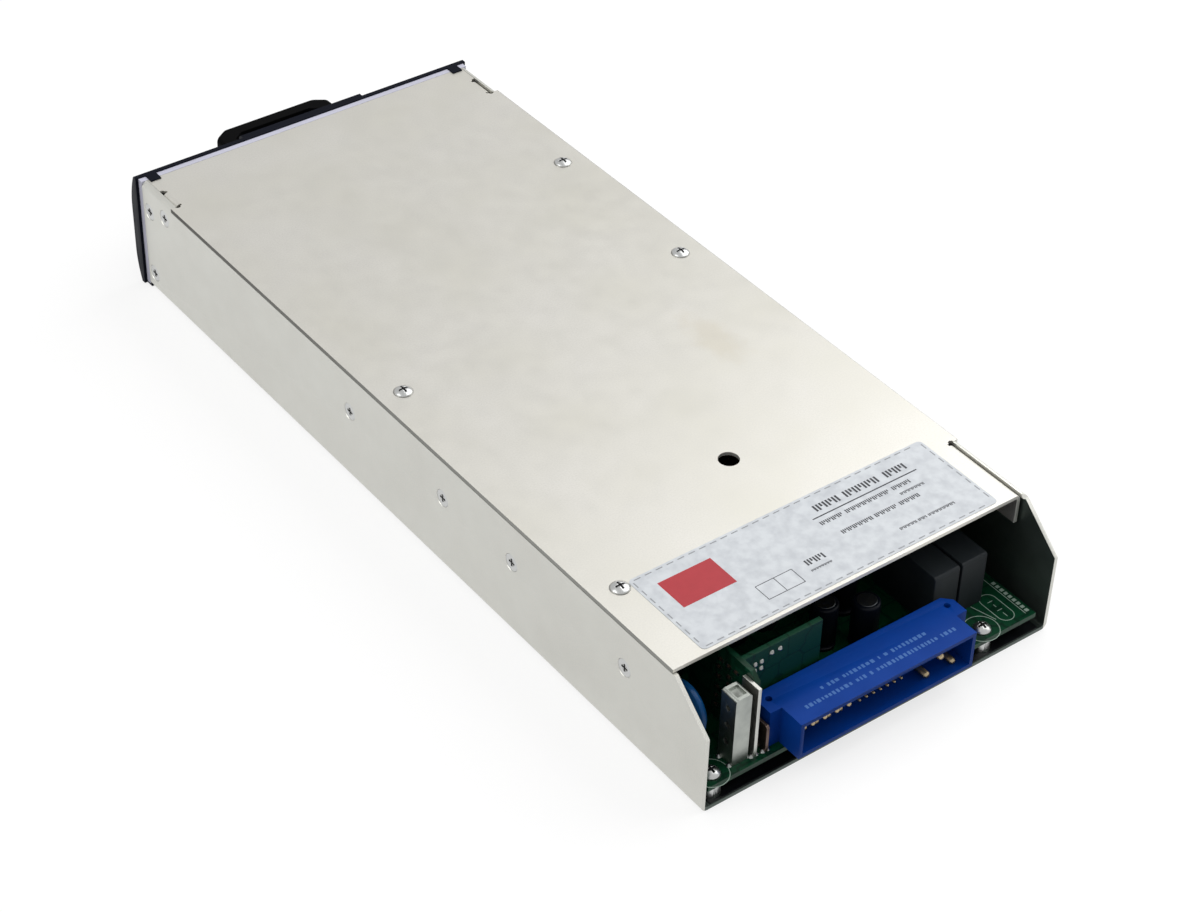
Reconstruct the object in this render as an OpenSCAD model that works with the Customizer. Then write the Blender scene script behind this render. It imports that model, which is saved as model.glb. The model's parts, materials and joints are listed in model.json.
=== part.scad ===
// Plug-in 1U power module: a sheet-metal case with a moulded fan front, open at the rear,
// where the circuit board carries a blind-mate connector. X is across, Y runs from the
// handle end to the connector end, Z is up. The origin is at the middle of the underside.

/* [Case] */
// Length from the crown of the front panel to the rear edge of the chassis
body_l = 295; // [288:1:330]
// Width of the chassis over its side walls
chassis_w = 125; // [123:0.5:132]
// Height of the chassis with its cover on
chassis_h = 40; // [39.5:0.5:46]
// Thickness of the chassis and cover sheet
sheet_t = 1.2; // [1:0.1:1.4]
// Inside radius of the sheet bends
bend_r = 0.8; // [0.5:0.1:1.2]
// Distance from the rear edge of the chassis to the rear edge of the cover
cover_setback = 15; // [10:0.5:22]
// Height at which the slanted rear edge of a side wall ends
bevel_low = 26.4; // [18:0.2:32]
// Open seam between neighbouring sheets
seam = 0.1; // [0.1:0.05:0.4]
// Open seam between the side walls and the cover above them
cover_gap = 0.2; // [0.1:0.05:0.5]

/* [Cover tabs and lips] */
// Length of the bent-over wall lips at the front corners
front_lip_l = 18.2; // [14:0.2:24]
// Length of each front tab of the cover
front_tab_l = 9.6; // [7:0.2:12]
// Length of the rear tab of the cover
rear_tab_l = 28.2; // [20:0.2:40]
// Drop of the tabs below the top face
tab_drop = 10; // [9:0.5:12]
// Diameter of the relief holes at the ends of the tab bends
relief_d = 1.8; // [1.2:0.1:2.4]
// Diameter of the access hole over the trimmer
access_d = 6.3; // [6:0.1:8]

/* [Front frame and panel] */
// Thickness of the front frame plate
frame_t = 2; // [1.6:0.1:3]
// Length of the frame flanges that lie inside the side walls
flange_l = 7.5; // [6:0.5:8]
// Depth of the front panel at its crown
panel_t = 4; // [4:0.1:7]
// Wall thickness of the moulded front panel
panel_wall = 2; // [1.5:0.1:2.2]
// Overhang of the front panel past each side wall
panel_side = 1; // [0:0.1:2]
// Overhang of the front panel above the cover
panel_top = 0.4; // [0:0.1:2]
// Height of the flat band along the crown of the front panel
crown_flat = 16; // [8:1:18]
// Radius of the curves above and below that band
crown_r = 32; // [24:1:60]
// Width of the flat middle of the front panel, behind the handle
console_w = 46; // [40:0.5:47]
// Width of the clips that hold the front panel
clip_w = 3.6; // [3:0.2:6]

/* [Grille] */
// Width across the flats of a grille cell
cell_af = 4.6; // [3.5:0.1:6]
// Width of the webs between the cells
cell_web = 1; // [0.8:0.1:1.5]

/* [Handle] */
// Width of the handle over its legs
handle_w = 44; // [36:0.5:46]
// Reach of the handle in front of the panel
handle_reach = 21; // [16:0.5:30]
// Height of the handle
handle_h = 18.2; // [12:0.2:20]
// Depth of the grip bar
grip_t = 4.9; // [4:0.1:6]
// Thickness of the handle legs
leg_t = 5.5; // [5:0.1:6]
// Width of the slant at each handle corner
handle_corner = 6; // [3:0.5:9]
// Depth of the slant at each handle corner
handle_corner_l = 4; // [2:0.5:8]
// Radius along the outer edges of the handle
handle_edge_r = 1.4; // [1:0.1:2.4]

/* [Fans] */
// Width and height of a fan
fan_size = 36; // [32:0.5:37]
// Distance of each fan axis from the inner face of the side wall next to it
fan_x = 20.8; // [19.3:0.1:22.3]
// Depth of a fan
fan_depth = 28; // [20:1:30]
// Wall left between the fan bore and its frame side
fan_wall = 1; // [0.8:0.1:2]
// Radius of the rotor hub
hub_r = 9.5; // [8:0.1:10]
// Number of blades
blades = 7; // [5:1:9]
// Gap between the blade tips and the bore
tip_gap = 0.7; // [0.5:0.1:1.5]
// Pitch of the fan screw holes
fan_pitch = 29; // [28.5:0.1:29.5]

/* [Circuit board] */
// Height of the standoffs
standoff_h = 5; // [4:0.5:6]
// Thickness of the circuit boards
board_t = 1.6; // [1.2:0.1:2]
// Gap from the board to the +X wall
board_gap_left = 1; // [0.5:0.1:1.5]
// Gap from the board to the -X wall
board_gap_right = 3.6; // [2:0.1:4]
// Setback of the board from the rear edge of the chassis
board_setback = 0.4; // [0:0.1:2]
// Gap between the fans and the board
board_fan_gap = 6.5; // [3:0.5:8]
// Thickness of the insulating sheet on the chassis floor
insulator_t = 0.25; // [0.2:0.05:0.5]

/* [Connector] */
// Height of the connector housing
conn_h = 12.5; // [11:0.1:13]
// Width of the connector shroud
conn_w = 62.3; // [61:0.1:64]
// Width of the connector over its ears
conn_ear_w = 69.9; // [68.5:0.1:71]
// Depth of the ears along the connector
conn_ear_l = 8; // [7:0.1:9]
// Overall depth of the connector
conn_l = 16.2; // [15:0.1:20]
// Overhang of the connector past the rear edge of the chassis
conn_overhang = 5.2; // [4:0.1:6]
// Wall thickness of the connector shroud
conn_wall = 1.2; // [0.8:0.1:1.5]
// Depth of the connector shroud
conn_cavity = 7; // [6:0.1:8]
// Distance of the connector from the middle, towards the +X wall
conn_x = 3.15; // [2:0.05:3.6]

/* [Heat sinks] */
// Thickness of the upright leg of a heat sink
sink_leg_t = 4; // [3:0.1:5]
// Thickness of the top flange of a heat sink
sink_flange_t = 3.5; // [2.5:0.1:4]
// Width of the top flange of a heat sink
sink_flange_w = 12; // [11:0.5:16]
// Height of the heat sinks above the board
sink_lift = 2.7; // [2:0.1:5]

/* [Power parts] */
// Diameter of the bulk capacitors
bulk_d = 30; // [25:0.5:31]
// Height of the bulk capacitors
bulk_h = 29; // [25:0.5:29.5]
// Diameter of the output capacitors
outcap_d = 10; // [8:0.5:10]
// Height of the output capacitors
outcap_h = 25; // [16:0.5:28]
// Outer diameter of the boost choke core
boost_d = 34; // [28:0.5:35]
// Outer diameter of the output choke core
output_ring_d = 27; // [22:0.5:28]
// Outer diameter of the filter choke cores
filter_d = 24; // [18:0.5:24.5]
// Length of the transformer core
core_l = 40; // [34:0.5:42]
// Gap between the transformer and the cover
core_top_gap = 3; // [1:0.5:8]
// Gap between the upright boards and the cover
upright_top_gap = 4.3; // [2:0.1:8]
// Length of a relay
relay_l = 24; // [18:0.5:26]
// Width of a relay
relay_w = 9.4; // [8:0.1:9.6]
// Height of a relay
relay_h = 18.2; // [15:0.1:22]
// Diameter of the disc varistor
varistor_d = 17; // [14:0.5:22]

/* [Screws] */
// Radius of the screw shanks
shank_r = 1.45; // [1.25:0.05:1.5]
// Radius of the flush screw heads
flush_r = 2.7; // [2.5:0.1:3]
// Depth of the flush screw heads below the sheet
flush_sink = 0.2; // [0:0.05:0.3]
// Radius of the pan screw heads
pan_r = 3; // [2.6:0.1:3.2]
// Height of the pan screw heads
pan_h = 1.3; // [1:0.1:2]
// Clearance between pieces that fit into each other
fit = 0.05; // [0.03:0.01:0.1]

/* [Hidden] */
$fn = 48;
eps = 0.5;

// Lengthways stations
crown_y = -body_l / 2;
rear_y = body_l / 2;
frame_y = crown_y + panel_t;
frame_back = frame_y + frame_t;
chassis_y = frame_back + seam;
fan_back = frame_back + fan_depth;
cover_rear = rear_y - cover_setback;
bevel_y = cover_rear + 0.9;
front_lip_y = chassis_y + front_lip_l;
rear_lip_y = cover_rear - rear_tab_l;
board_front = fan_back + board_fan_gap;
board_rear = rear_y - board_setback;

// Heights
wall_top = chassis_h - sheet_t;
lip_r = bend_r + sheet_t;
board_z = sheet_t + standoff_h;
top_z = board_z + board_t;
panel_h = chassis_h + panel_top;
panel_mid = panel_h / 2;
fan_z = chassis_h / 2;

// Places across
half_w = chassis_w / 2;
wall_in = half_w - sheet_t;
lip_in = half_w - lip_r;
tab_x = lip_in - seam;
board_left = wall_in - board_gap_left;
board_right = board_gap_right - wall_in;
panel_half = half_w + panel_side;

// Fan places
fan_axis_x = wall_in - fan_x;

// Distances behind the fans and in front of the rear edge of the chassis
function behind_fans(d) = fan_back + d;
function from_rear(d) = rear_y - d;

left_wall_screws = [for (d = [168.5, 120.2, 86.5, 35]) from_rear(d)];
right_wall_screws = [for (d = [35, 80, 129]) behind_fans(d)];
left_top_screws = [for (d = [151.5, 48]) from_rear(d)];
right_top_screws = [for (d = [38.5, 100]) behind_fans(d)];
left_sink = [from_rear(183.5), from_rear(28.5)];
right_sink = [behind_fans(20.5), behind_fans(142.5)];
left_devices = [for (d = [162, 135, 105]) from_rear(d)];
right_devices = [for (d = [31, 52, 73]) behind_fans(d)];
wall_screw_z = chassis_h - 14.8;
top_screw_in = 8;
frame_screw_y = frame_back + 3.7;
frame_screw_z = [6.8, chassis_h - 9.4];
tab_screw_z = chassis_h - 6.5;
tab_screw_y = front_lip_y - front_tab_l / 2;
rear_tab_screw_y = cover_rear - rear_tab_l / 2;
trimmer_x = -3.3;
trimmer_y = from_rear(73.7);
flange_z = [3, chassis_h - 4];
flange_t = 1.2;
flush_depth = 1.25;
short_screw_l = 3.5;
sink_screw_l = 4.8;
top_screw_l = 4.4;

// Connector stations
conn_rear = rear_y + conn_overhang;
conn_front = conn_rear - conn_l;
conn_top = top_z + conn_h;
conn_floor = conn_rear - conn_cavity;
conn_ears = [conn_x - conn_ear_w / 2, conn_x + conn_ear_w / 2];

// Standoffs, in rows from the rear to the fans
standoff_r = 3;
mid_standoff_x = [board_right + 9.7, board_left - 12.3];
front_standoff_x = 16.5;
front_row_y = behind_fans(13);
standoffs = concat(
    [[board_left - 3.8, from_rear(4.3)], [conn_ears[0] - 8.7, from_rear(4.3)]],
    [for (x = mid_standoff_x, y = [from_rear(117.5), behind_fans(70)]) [x, y]],
    [for (x = [-front_standoff_x, front_standoff_x]) [x, front_row_y]]
);

// ---------------------------------------------------------------- shared shapes

// A box between two corners, given as ranges
module slab(x, y, z) {
    translate([x[0], y[0], z[0]]) cube([x[1] - x[0], y[1] - y[0], z[1] - z[0]]);
}

// Extrudes an outline drawn in (y, z) along X
module along_x(x) {
    translate([x[0], 0, 0]) rotate([90, 0, 90]) linear_extrude(x[1] - x[0]) children();
}

// Extrudes an outline drawn in (x, z) along Y
module along_y(y) {
    translate([0, y[1], 0]) rotate([90, 0, 0]) linear_extrude(y[1] - y[0]) children();
}

// Keeps a shape and adds its mirror image across the module
module both_sides() {
    children();
    mirror([1, 0, 0]) children();
}

// Turns a shape drawn along Z so that its top faces +X or -Y
module facing_x() rotate([0, 90, 0]) children();
module facing_front() rotate([90, 0, 0]) children();

// A rectangle with true round corners
module round_rect(x, y, r) {
    translate([x[0] + r, y[0]]) square([x[1] - x[0] - 2 * r, y[1] - y[0]]);
    translate([x[0], y[0] + r]) square([x[1] - x[0], y[1] - y[0] - 2 * r]);
    for (px = [x[0] + r, x[1] - r], py = [y[0] + r, y[1] - r]) translate([px, py]) circle(r);
}

// Outline of a tray with round lower corners
module tray_2d(w, h, r) {
    translate([-w / 2 + r, 0]) square([w - 2 * r, h]);
    translate([-w / 2, r]) square([w, h - r]);
    for (s = [-1, 1]) translate([s * (w / 2 - r), r]) circle(r);
}

// Quarter ring of bent sheet, turning from upright at +X to level at the top
module bend_2d(outer_x, top) {
    intersection() {
        translate([outer_x - lip_r, top - lip_r]) difference() {
            circle(lip_r);
            circle(bend_r);
        }
        translate([outer_x - lip_r, top - lip_r]) square(lip_r);
    }
}

// Cross recess for a screwdriver, cut down from Z = 0
module cross_recess(size) {
    depth = 0.8;
    for (a = [0, 90]) rotate(a) slab([-size / 2, size / 2], [-size / 10, size / 10], [-depth, eps]);
}

// Flush screw pointing down from Z = 0, its head just below the face of the sheet
module flush_screw(l) {
    head_h = flush_depth - flush_sink;
    difference() {
        union() {
            translate([0, 0, -flush_depth]) cylinder(h = head_h, r1 = shank_r, r2 = flush_r);
            translate([0, 0, -l]) cylinder(h = l - flush_depth + head_h / 2, r = shank_r);
        }
        translate([0, 0, -flush_sink]) cross_recess(flush_r);
    }
}

// Hole for a flush screw, cut down from Z = 0, with an open rim round the head
module flush_hole(l) {
    rim = flush_r + fit;
    translate([0, 0, -flush_depth])
        cylinder(h = flush_depth - flush_sink, r1 = shank_r + fit, r2 = rim);
    translate([0, 0, -flush_depth / 2]) cylinder(h = flush_depth, r = rim);
    translate([0, 0, -flush_sink]) cylinder(h = flush_sink + eps, r1 = rim, r2 = rim + flush_sink + eps);
    translate([0, 0, -l - eps]) cylinder(h = l + eps, r = shank_r + fit);
}

// Pan-head screw pointing down, its head standing on Z = 0
module pan_screw(l, r = shank_r, head_r = pan_r, head_h = pan_h) {
    ball_r = (head_r * head_r + head_h * head_h) / (2 * head_h);
    difference() {
        union() {
            intersection() {
                translate([0, 0, head_h - ball_r]) sphere(ball_r);
                cylinder(h = head_h, r = head_r);
            }
            translate([0, 0, -l]) cylinder(h = l + 0.1, r = r);
        }
        translate([0, 0, head_h]) cross_recess(head_r);
    }
}

// Ring core with its axis along Z
module ring_core(od, id, h) {
    difference() {
        cylinder(h = h, d = od);
        translate([0, 0, -eps]) cylinder(h = h + 2 * eps, d = id);
    }
}

// Separate turns of wire round a ring core, over part of its circle
module ring_turns(od, id, h, wire, turns, first = 0, sweep = 360) {
    gap = 0.15;
    inner = [id / 2 - gap, od / 2 + gap];
    outer = [inner[0] - wire, inner[1] + wire];
    for (i = [0 : turns - 1]) rotate(first + i * sweep / turns) difference() {
        slab(outer, [-wire / 2, wire / 2], [-gap - wire, h + gap + wire]);
        slab(inner, [-wire, wire], [-gap, h + gap]);
    }
}

// ---------------------------------------------------------------- sheet metal

// Bent-over lip along the top of the +X wall
module wall_lip(y) along_y(y) bend_2d(half_w, chassis_h);

// Straight top strip of the +X wall, below the cover
module wall_strip(y) slab([wall_in, half_w], y, [chassis_h - lip_r - eps, wall_top - cover_gap]);

// Hole positions shared by the walls and what is screwed to them
module at_frame_screws() {
    both_sides() for (z = frame_screw_z) translate([half_w, frame_screw_y, z]) facing_x() children();
}
module at_front_tab_screws() {
    both_sides() translate([half_w, tab_screw_y, tab_screw_z]) facing_x() children();
}
module at_rear_tab_screw() {
    mirror([1, 0, 0]) translate([half_w, rear_tab_screw_y, tab_screw_z]) facing_x() children();
}
module at_left_wall_screws() {
    for (y = left_wall_screws) translate([half_w, y, wall_screw_z]) facing_x() children();
}
module at_right_wall_screws() {
    for (y = right_wall_screws) mirror([1, 0, 0])
        translate([half_w, y, wall_screw_z]) facing_x() children();
}
module at_top_screws(z) {
    for (y = left_top_screws) translate([half_w - top_screw_in, y, z]) children();
    for (y = right_top_screws) translate([top_screw_in - half_w, y, z]) children();
}
module at_standoffs(z) {
    for (p = standoffs) translate([p[0], p[1], z]) children();
}

// Dimple that carries a cover tab clear of the wall
module tab_dimple() {
    translate([0, 0, tab_x - half_w]) cylinder(h = half_w - tab_x - sheet_t / 2, r = 3.2);
}

module chassis() {
    color("silver") difference() {
        union() {
            along_y([chassis_y, rear_y]) difference() {
                tray_2d(chassis_w, chassis_h - lip_r, lip_r);
                translate([0, sheet_t]) tray_2d(chassis_w - 2 * sheet_t, chassis_h, bend_r);
            }
            both_sides() wall_lip([chassis_y, front_lip_y]);
            wall_strip([front_lip_y, rear_y]);
            mirror([1, 0, 0]) wall_strip([front_lip_y, rear_lip_y]);
            mirror([1, 0, 0]) wall_lip([rear_lip_y, rear_y]);
            at_front_tab_screws() tab_dimple();
            at_rear_tab_screw() tab_dimple();
        }
        rear_bevel();
        at_frame_screws() flush_hole(sheet_t);
        at_front_tab_screws() flush_hole(half_w - tab_x);
        at_rear_tab_screw() flush_hole(half_w - tab_x);
        at_left_wall_screws() flush_hole(sheet_t);
        at_right_wall_screws() flush_hole(sheet_t);
        both_sides() lower_clip(fit);
    }
}

// Slanted cut across the rear top corners of both side walls
module rear_bevel() {
    slope = (wall_top - bevel_low) / (rear_y - bevel_y);
    along_x([-half_w - eps, half_w + eps]) polygon([
        [bevel_y, wall_top], [rear_y + eps, bevel_low - eps * slope],
        [rear_y + eps, chassis_h + eps], [bevel_y - 1.4, chassis_h + eps]
    ]);
}

// Plan of the flat of the cover, without its tabs
module cover_2d() {
    difference() {
        translate([-half_w, chassis_y]) square([chassis_w, cover_rear - chassis_y]);
        for (s = [0, 1]) mirror([s, 0]) {
            translate([tab_x, chassis_y - eps]) square([lip_r + 2, front_lip_l + seam + eps]);
            translate([tab_x - lip_r, front_lip_y - front_tab_l]) square([lip_r + 1, front_tab_l]);
            for (y = [front_lip_y - front_tab_l, front_lip_y])
                translate([tab_x - 0.5, y]) circle(d = relief_d);
        }
        mirror([1, 0]) {
            translate([tab_x, rear_lip_y - seam]) square([lip_r + 2, rear_tab_l + seam + eps]);
            translate([tab_x - lip_r, rear_lip_y]) square([lip_r + 1, rear_tab_l + eps]);
            translate([tab_x - 0.5, rear_lip_y]) circle(d = relief_d);
        }
        translate([trimmer_x, trimmer_y]) circle(d = access_d);
    }
}

// Down-turned tab at the +X edge of the cover
module cover_tab(y) {
    along_y([y[0] + relief_d / 2, y[1]]) {
        bend_2d(tab_x, chassis_h);
        translate([tab_x - sheet_t, chassis_h - tab_drop]) square([sheet_t, tab_drop - lip_r]);
    }
}

// Hole through a cover tab for its screw
module tab_hole() {
    depth = 2 * lip_r + sheet_t;
    translate([0, 0, -depth]) cylinder(h = depth, r = shank_r + fit);
}

module top_cover() {
    color("gainsboro") difference() {
        union() {
            translate([0, 0, wall_top]) linear_extrude(sheet_t) cover_2d();
            both_sides() cover_tab([front_lip_y - front_tab_l, front_lip_y - relief_d / 2]);
            mirror([1, 0, 0]) cover_tab([rear_lip_y, cover_rear]);
        }
        both_sides() upper_clip(fit);
        at_top_screws(wall_top - eps) cylinder(h = sheet_t + 2 * eps, r = shank_r + fit);
        at_front_tab_screws() tab_hole();
        at_rear_tab_screw() tab_hole();
    }
}

// ---------------------------------------------------------------- front

fan_bore_r = fan_size / 2 - fan_wall;

// Places of the fan axes and of the four screws of each fan
module at_fans(y) both_sides() translate([fan_axis_x, y, fan_z]) children();
module at_fan_screws(y) {
    at_fans(y) for (x = [-1, 1], z = [-1, 1])
        translate([x, 0, z] * fan_pitch / 2) facing_front() children();
}
lens_x = 5;
lens_z = chassis_h - 5.7;
lens_r = 1.6;
led_board_y = frame_back + 3;
led_post_x = 11;
handle_screw_x = handle_w / 2 - leg_t / 2;

module at_handle_screws(y) {
    both_sides() translate([handle_screw_x, y, panel_mid]) children();
}
module at_lenses(y) both_sides() translate([lens_x, y, lens_z]) facing_front() children();

module front_frame() {
    through = frame_t + 2 * eps;
    color("lavender") difference() {
        union() {
            slab([-half_w, half_w], [frame_y, frame_back], [0, chassis_h]);
            both_sides() slab(
                [wall_in - fit - flange_t, wall_in - fit],
                [frame_y, frame_back + flange_l], flange_z
            );
            both_sides() translate([led_post_x, led_board_y, lens_z]) facing_front()
                cylinder(h = led_board_y - frame_back + eps, r = 2);
        }
        at_fans(frame_back + eps) facing_front() cylinder(h = through, r = fan_bore_r);
        at_fan_screws(frame_y) flush_hole(frame_t);
        at_handle_screws(frame_back + eps) facing_front() cylinder(h = through, r = shank_r + fit);
        at_lenses(frame_back + eps) cylinder(h = through, r = lens_r + fit);
        at_frame_screws() translate([0, 0, -2 * lip_r]) cylinder(h = 2 * lip_r, r = shank_r + fit);
        both_sides() {
            upper_clip(fit);
            lower_clip(fit);
        }
    }
}

// Clips of the front panel: one over the cover edge and one under the chassis corner, each side
clip_x = half_w - 6.3;
clip_l = 1.6;
module upper_clip(grow) {
    slab(
        [clip_x - grow, clip_x + clip_w + grow], [frame_y - fit, frame_back + clip_l + grow],
        [wall_top - 1 - grow, chassis_h + panel_top]
    );
}
module lower_clip(grow) {
    slab(
        [half_w - clip_w - grow, half_w + grow],
        [frame_y - fit, chassis_y + clip_l / 2 + grow], [-grow, 0.6 + grow]
    );
}

// Side outline of the front panel, drawn in by a wall thickness
module panel_2d(wall) {
    back = frame_y + (wall > 0 ? eps : 0);
    r = crown_r - wall;
    translate([crown_y + wall, panel_mid - crown_flat / 2]) square([back - crown_y - wall, crown_flat]);
    for (s = [-1, 1]) intersection() {
        translate([crown_y + wall + r, panel_mid + s * crown_flat / 2]) circle(r);
        translate([crown_y, s > 0 ? panel_mid : wall]) square([back - crown_y, panel_mid - wall]);
    }
}

// Side outline of the flat middle of the panel, drawn in by a wall thickness
module console_2d(wall) {
    back = frame_y + (wall > 0 ? eps : 0);
    front = crown_y + wall;
    z = [wall, panel_h - wall];
    cut = 1;
    polygon([
        [front, z[0] + cut], [front + cut, z[0]], [back, z[0]],
        [back, z[1]], [front + cut, z[1]], [front, z[1] - cut]
    ]);
}

// Outer shape of the front panel, or its hollow when drawn in by a wall thickness
module panel_body(wall) {
    along_x([wall - panel_half, panel_half - wall]) panel_2d(wall);
    along_x([wall - console_w / 2, console_w / 2 - wall]) console_2d(wall);
}

// Centres of the hexagonal cells that fit inside a radius
cell_pitch = cell_af + cell_web;
function cell_centres(r) = let (n = ceil(r / cell_pitch) + 1) [
    for (i = [-n : n], j = [-n : n])
        let (p = [i + j / 2, j * sqrt(3) / 2] * cell_pitch)
        if (norm(p) < r - cell_af * 0.55) p
];

module grille_cells() {
    for (p = cell_centres(fan_bore_r - 0.5)) translate([p[0], 0, p[1]]) facing_front() rotate(30)
        cylinder(h = panel_t + 2 * eps, d = cell_af / cos(30), $fn = 6);
}

module front_panel() {
    through = panel_t + 2 * eps;
    color([0.09, 0.09, 0.13]) difference() {
        union() {
            difference() {
                panel_body(0);
                panel_body(panel_wall);
            }
            intersection() {
                union() {
                    at_handle_screws(frame_y) facing_front() cylinder(h = panel_t, r = leg_t / 2);
                    at_lenses(frame_y) cylinder(h = panel_t, r = lens_r + 1.2);
                }
                panel_body(0);
            }
            both_sides() {
                upper_clip(0);
                lower_clip(0);
            }
        }
        at_fans(frame_y + eps) grille_cells();
        at_handle_screws(frame_y + eps) facing_front() cylinder(h = through, r = shank_r + fit);
        at_lenses(frame_y + eps) cylinder(h = through, r = lens_r + fit);
    }
}

// Plan of the handle: a U with slanted corners, open towards the panel
module handle_2d() {
    tip = crown_y - handle_reach;
    slant = [handle_corner, handle_corner_l];
    difference() {
        handle_outline(handle_w / 2, tip, slant, crown_y);
        handle_outline(handle_w / 2 - leg_t, tip + grip_t, slant * 0.55, crown_y + eps);
    }
}

// Block with two slanted corners at its tip
module handle_outline(w, tip, slant, back) {
    polygon([
        [-w, back], [-w, tip + slant[1]], [slant[0] - w, tip],
        [w - slant[0], tip], [w, tip + slant[1]], [w, back]
    ]);
}

module handle() {
    x = [-handle_w / 2, handle_w / 2];
    y = [crown_y - handle_reach, crown_y];
    z = [panel_mid - handle_h / 2, panel_mid + handle_h / 2];
    screw_l = 9;
    color([0.07, 0.07, 0.08]) difference() {
        intersection() {
            translate([0, 0, z[0]]) linear_extrude(handle_h) handle_2d();
            along_x(x) round_rect([y[0], y[1] + 2 * handle_edge_r], z, handle_edge_r);
            along_y([y[0] - eps, y[1] + eps]) round_rect(x, z, handle_edge_r);
        }
        at_handle_screws(crown_y + eps) facing_front() cylinder(h = screw_l + eps, r = shank_r + fit);
    }
}

module handle_screws() {
    color("dimgray") at_handle_screws(frame_back) rotate([-90, 0, 0])
        pan_screw(frame_t + panel_t + 8, shank_r, 2.6, 1.8);
}

module status_lenses() {
    l = panel_t + frame_t + 0.1;
    color("palegreen") at_lenses(frame_back + 1) {
        cylinder(h = l, r = lens_r);
        translate([0, 0, l]) intersection() {
            translate([0, 0, -1.2]) sphere(2);
            cylinder(h = 2, r = lens_r);
        }
    }
}

module indicator_board() {
    size = [14, 4.2];
    color("seagreen") {
        difference() {
            slab(
                [-size[0], size[0]], [led_board_y, led_board_y + board_t],
                [lens_z - size[1], lens_z + size[1]]
            );
            both_sides() translate([led_post_x, led_board_y + board_t + eps, lens_z]) facing_front()
                cylinder(h = board_t + 2 * eps, r = 0.8);
        }
        at_lenses(led_board_y) cylinder(h = 1.8, r = 1.45);
    }
}

// ---------------------------------------------------------------- fans

fan_flange_t = 4;
stator_t = 3;
shaft_r = 1.5;
bearing_r = 3.2;

// Fan body with its axis along Z, the open end at Z = 0
module fan_frame() {
    half = fan_size / 2;
    arm_w = 2;
    tube_z = 6;
    color([0.11, 0.11, 0.12]) {
        difference() {
            union() {
                for (z = [0, fan_depth - fan_flange_t])
                    slab([-half, half], [-half, half], [z, z + fan_flange_t]);
                intersection() {
                    cylinder(h = fan_depth, r = fan_bore_r + fan_wall);
                    slab([-half, half], [-half, half], [0, fan_depth]);
                }
            }
            translate([0, 0, -eps]) cylinder(h = fan_depth + 2 * eps, r = fan_bore_r);
            for (x = [-1, 1], y = [-1, 1]) translate([x * fan_pitch / 2, y * fan_pitch / 2, -eps])
                cylinder(h = fan_depth + 2 * eps, r = shank_r + 0.15);
        }
        translate([0, 0, fan_depth - stator_t]) {
            cylinder(h = stator_t, r = hub_r - 0.5);
            for (a = [45 : 90 : 315]) rotate(a)
                slab([0, fan_bore_r + fan_wall / 2], [-arm_w / 2, arm_w / 2], [0.5, stator_t]);
        }
        difference() {
            translate([0, 0, tube_z]) cylinder(h = fan_depth - stator_t - tube_z, r = bearing_r);
            translate([0, 0, tube_z - 1])
                cylinder(h = fan_depth - stator_t - tube_z, r = shaft_r + fit);
        }
    }
}

// Rotor with its axis along Z: a cup with a shaft and twisted blades
module fan_rotor() {
    cup = [2, fan_depth - stator_t - 1];
    wall = 1.2;
    blade_t = 1;
    inside_l = cup[1] - cup[0] - 3;
    root = hub_r - 0.6;
    tip = fan_bore_r - tip_gap;
    color([0.13, 0.13, 0.14]) {
        difference() {
            translate([0, 0, cup[0]]) cylinder(h = cup[1] - cup[0], r = hub_r);
            translate([0, 0, cup[0] + 1.5]) cylinder(h = cup[1], r = hub_r - wall);
        }
        translate([0, 0, cup[0] + 1]) cylinder(h = inside_l, r = shaft_r);
        for (i = [0 : blades - 1]) rotate(i * 360 / blades) translate([0, 0, cup[0] + 1])
            linear_extrude(height = inside_l, twist = -42, slices = 5)
            translate([root, -blade_t / 2]) square([tip - root, blade_t]);
    }
}

// Coil pack inside the rotor cup, pressed onto the bearing tube
module fan_stator() {
    slot_w = 2;
    color("peru") translate([0, 0, 8]) difference() {
        cylinder(h = fan_depth - stator_t - 11, r = hub_r - 2);
        translate([0, 0, -eps]) cylinder(h = fan_depth, r = bearing_r + 0.03);
        for (a = [45 : 90 : 315]) rotate(a)
            slab([hub_r - 4, 2 * hub_r], [-slot_w / 2, slot_w / 2], [-eps, fan_depth]);
    }
}

module at_fan(s) translate([s * fan_axis_x, frame_back, fan_z]) rotate([-90, 0, 0]) children();
module fan_stators() for (s = [-1, 1]) at_fan(s) fan_stator();
module fan_frame_left() at_fan(1) fan_frame();
module fan_frame_right() at_fan(-1) fan_frame();
module fan_rotor_left() at_fan(1) fan_rotor();
module fan_rotor_right() at_fan(-1) fan_rotor();
module fan_screws() {
    color("dimgray") at_fan_screws(frame_y) flush_screw(5.5);
}

// ---------------------------------------------------------------- screws in the case

module frame_screws() color("silver") at_frame_screws() flush_screw(short_screw_l);
module cover_tab_screws() {
    color("silver") {
        at_front_tab_screws() flush_screw(short_screw_l);
        at_rear_tab_screw() flush_screw(short_screw_l);
    }
}
module cover_screws() color("silver") at_top_screws(chassis_h) pan_screw(top_screw_l);
module heatsink_screws() {
    color("silver") {
        at_left_wall_screws() flush_screw(sink_screw_l);
        at_right_wall_screws() flush_screw(sink_screw_l);
    }
}

// ---------------------------------------------------------------- main board

module insulating_sheet() {
    color([0.06, 0.06, 0.07]) difference() {
        slab([-wall_in + 2, wall_in - 2], [board_front, board_rear], [sheet_t, sheet_t + insulator_t]);
        at_standoffs(0) cylinder(h = board_z, r = standoff_r + 0.3);
    }
}

module board_standoffs() {
    color("silver") at_standoffs(sheet_t) difference() {
        cylinder(h = standoff_h, r = standoff_r);
        translate([0, 0, 0.6]) cylinder(h = standoff_h, r = shank_r + fit);
    }
}

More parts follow.
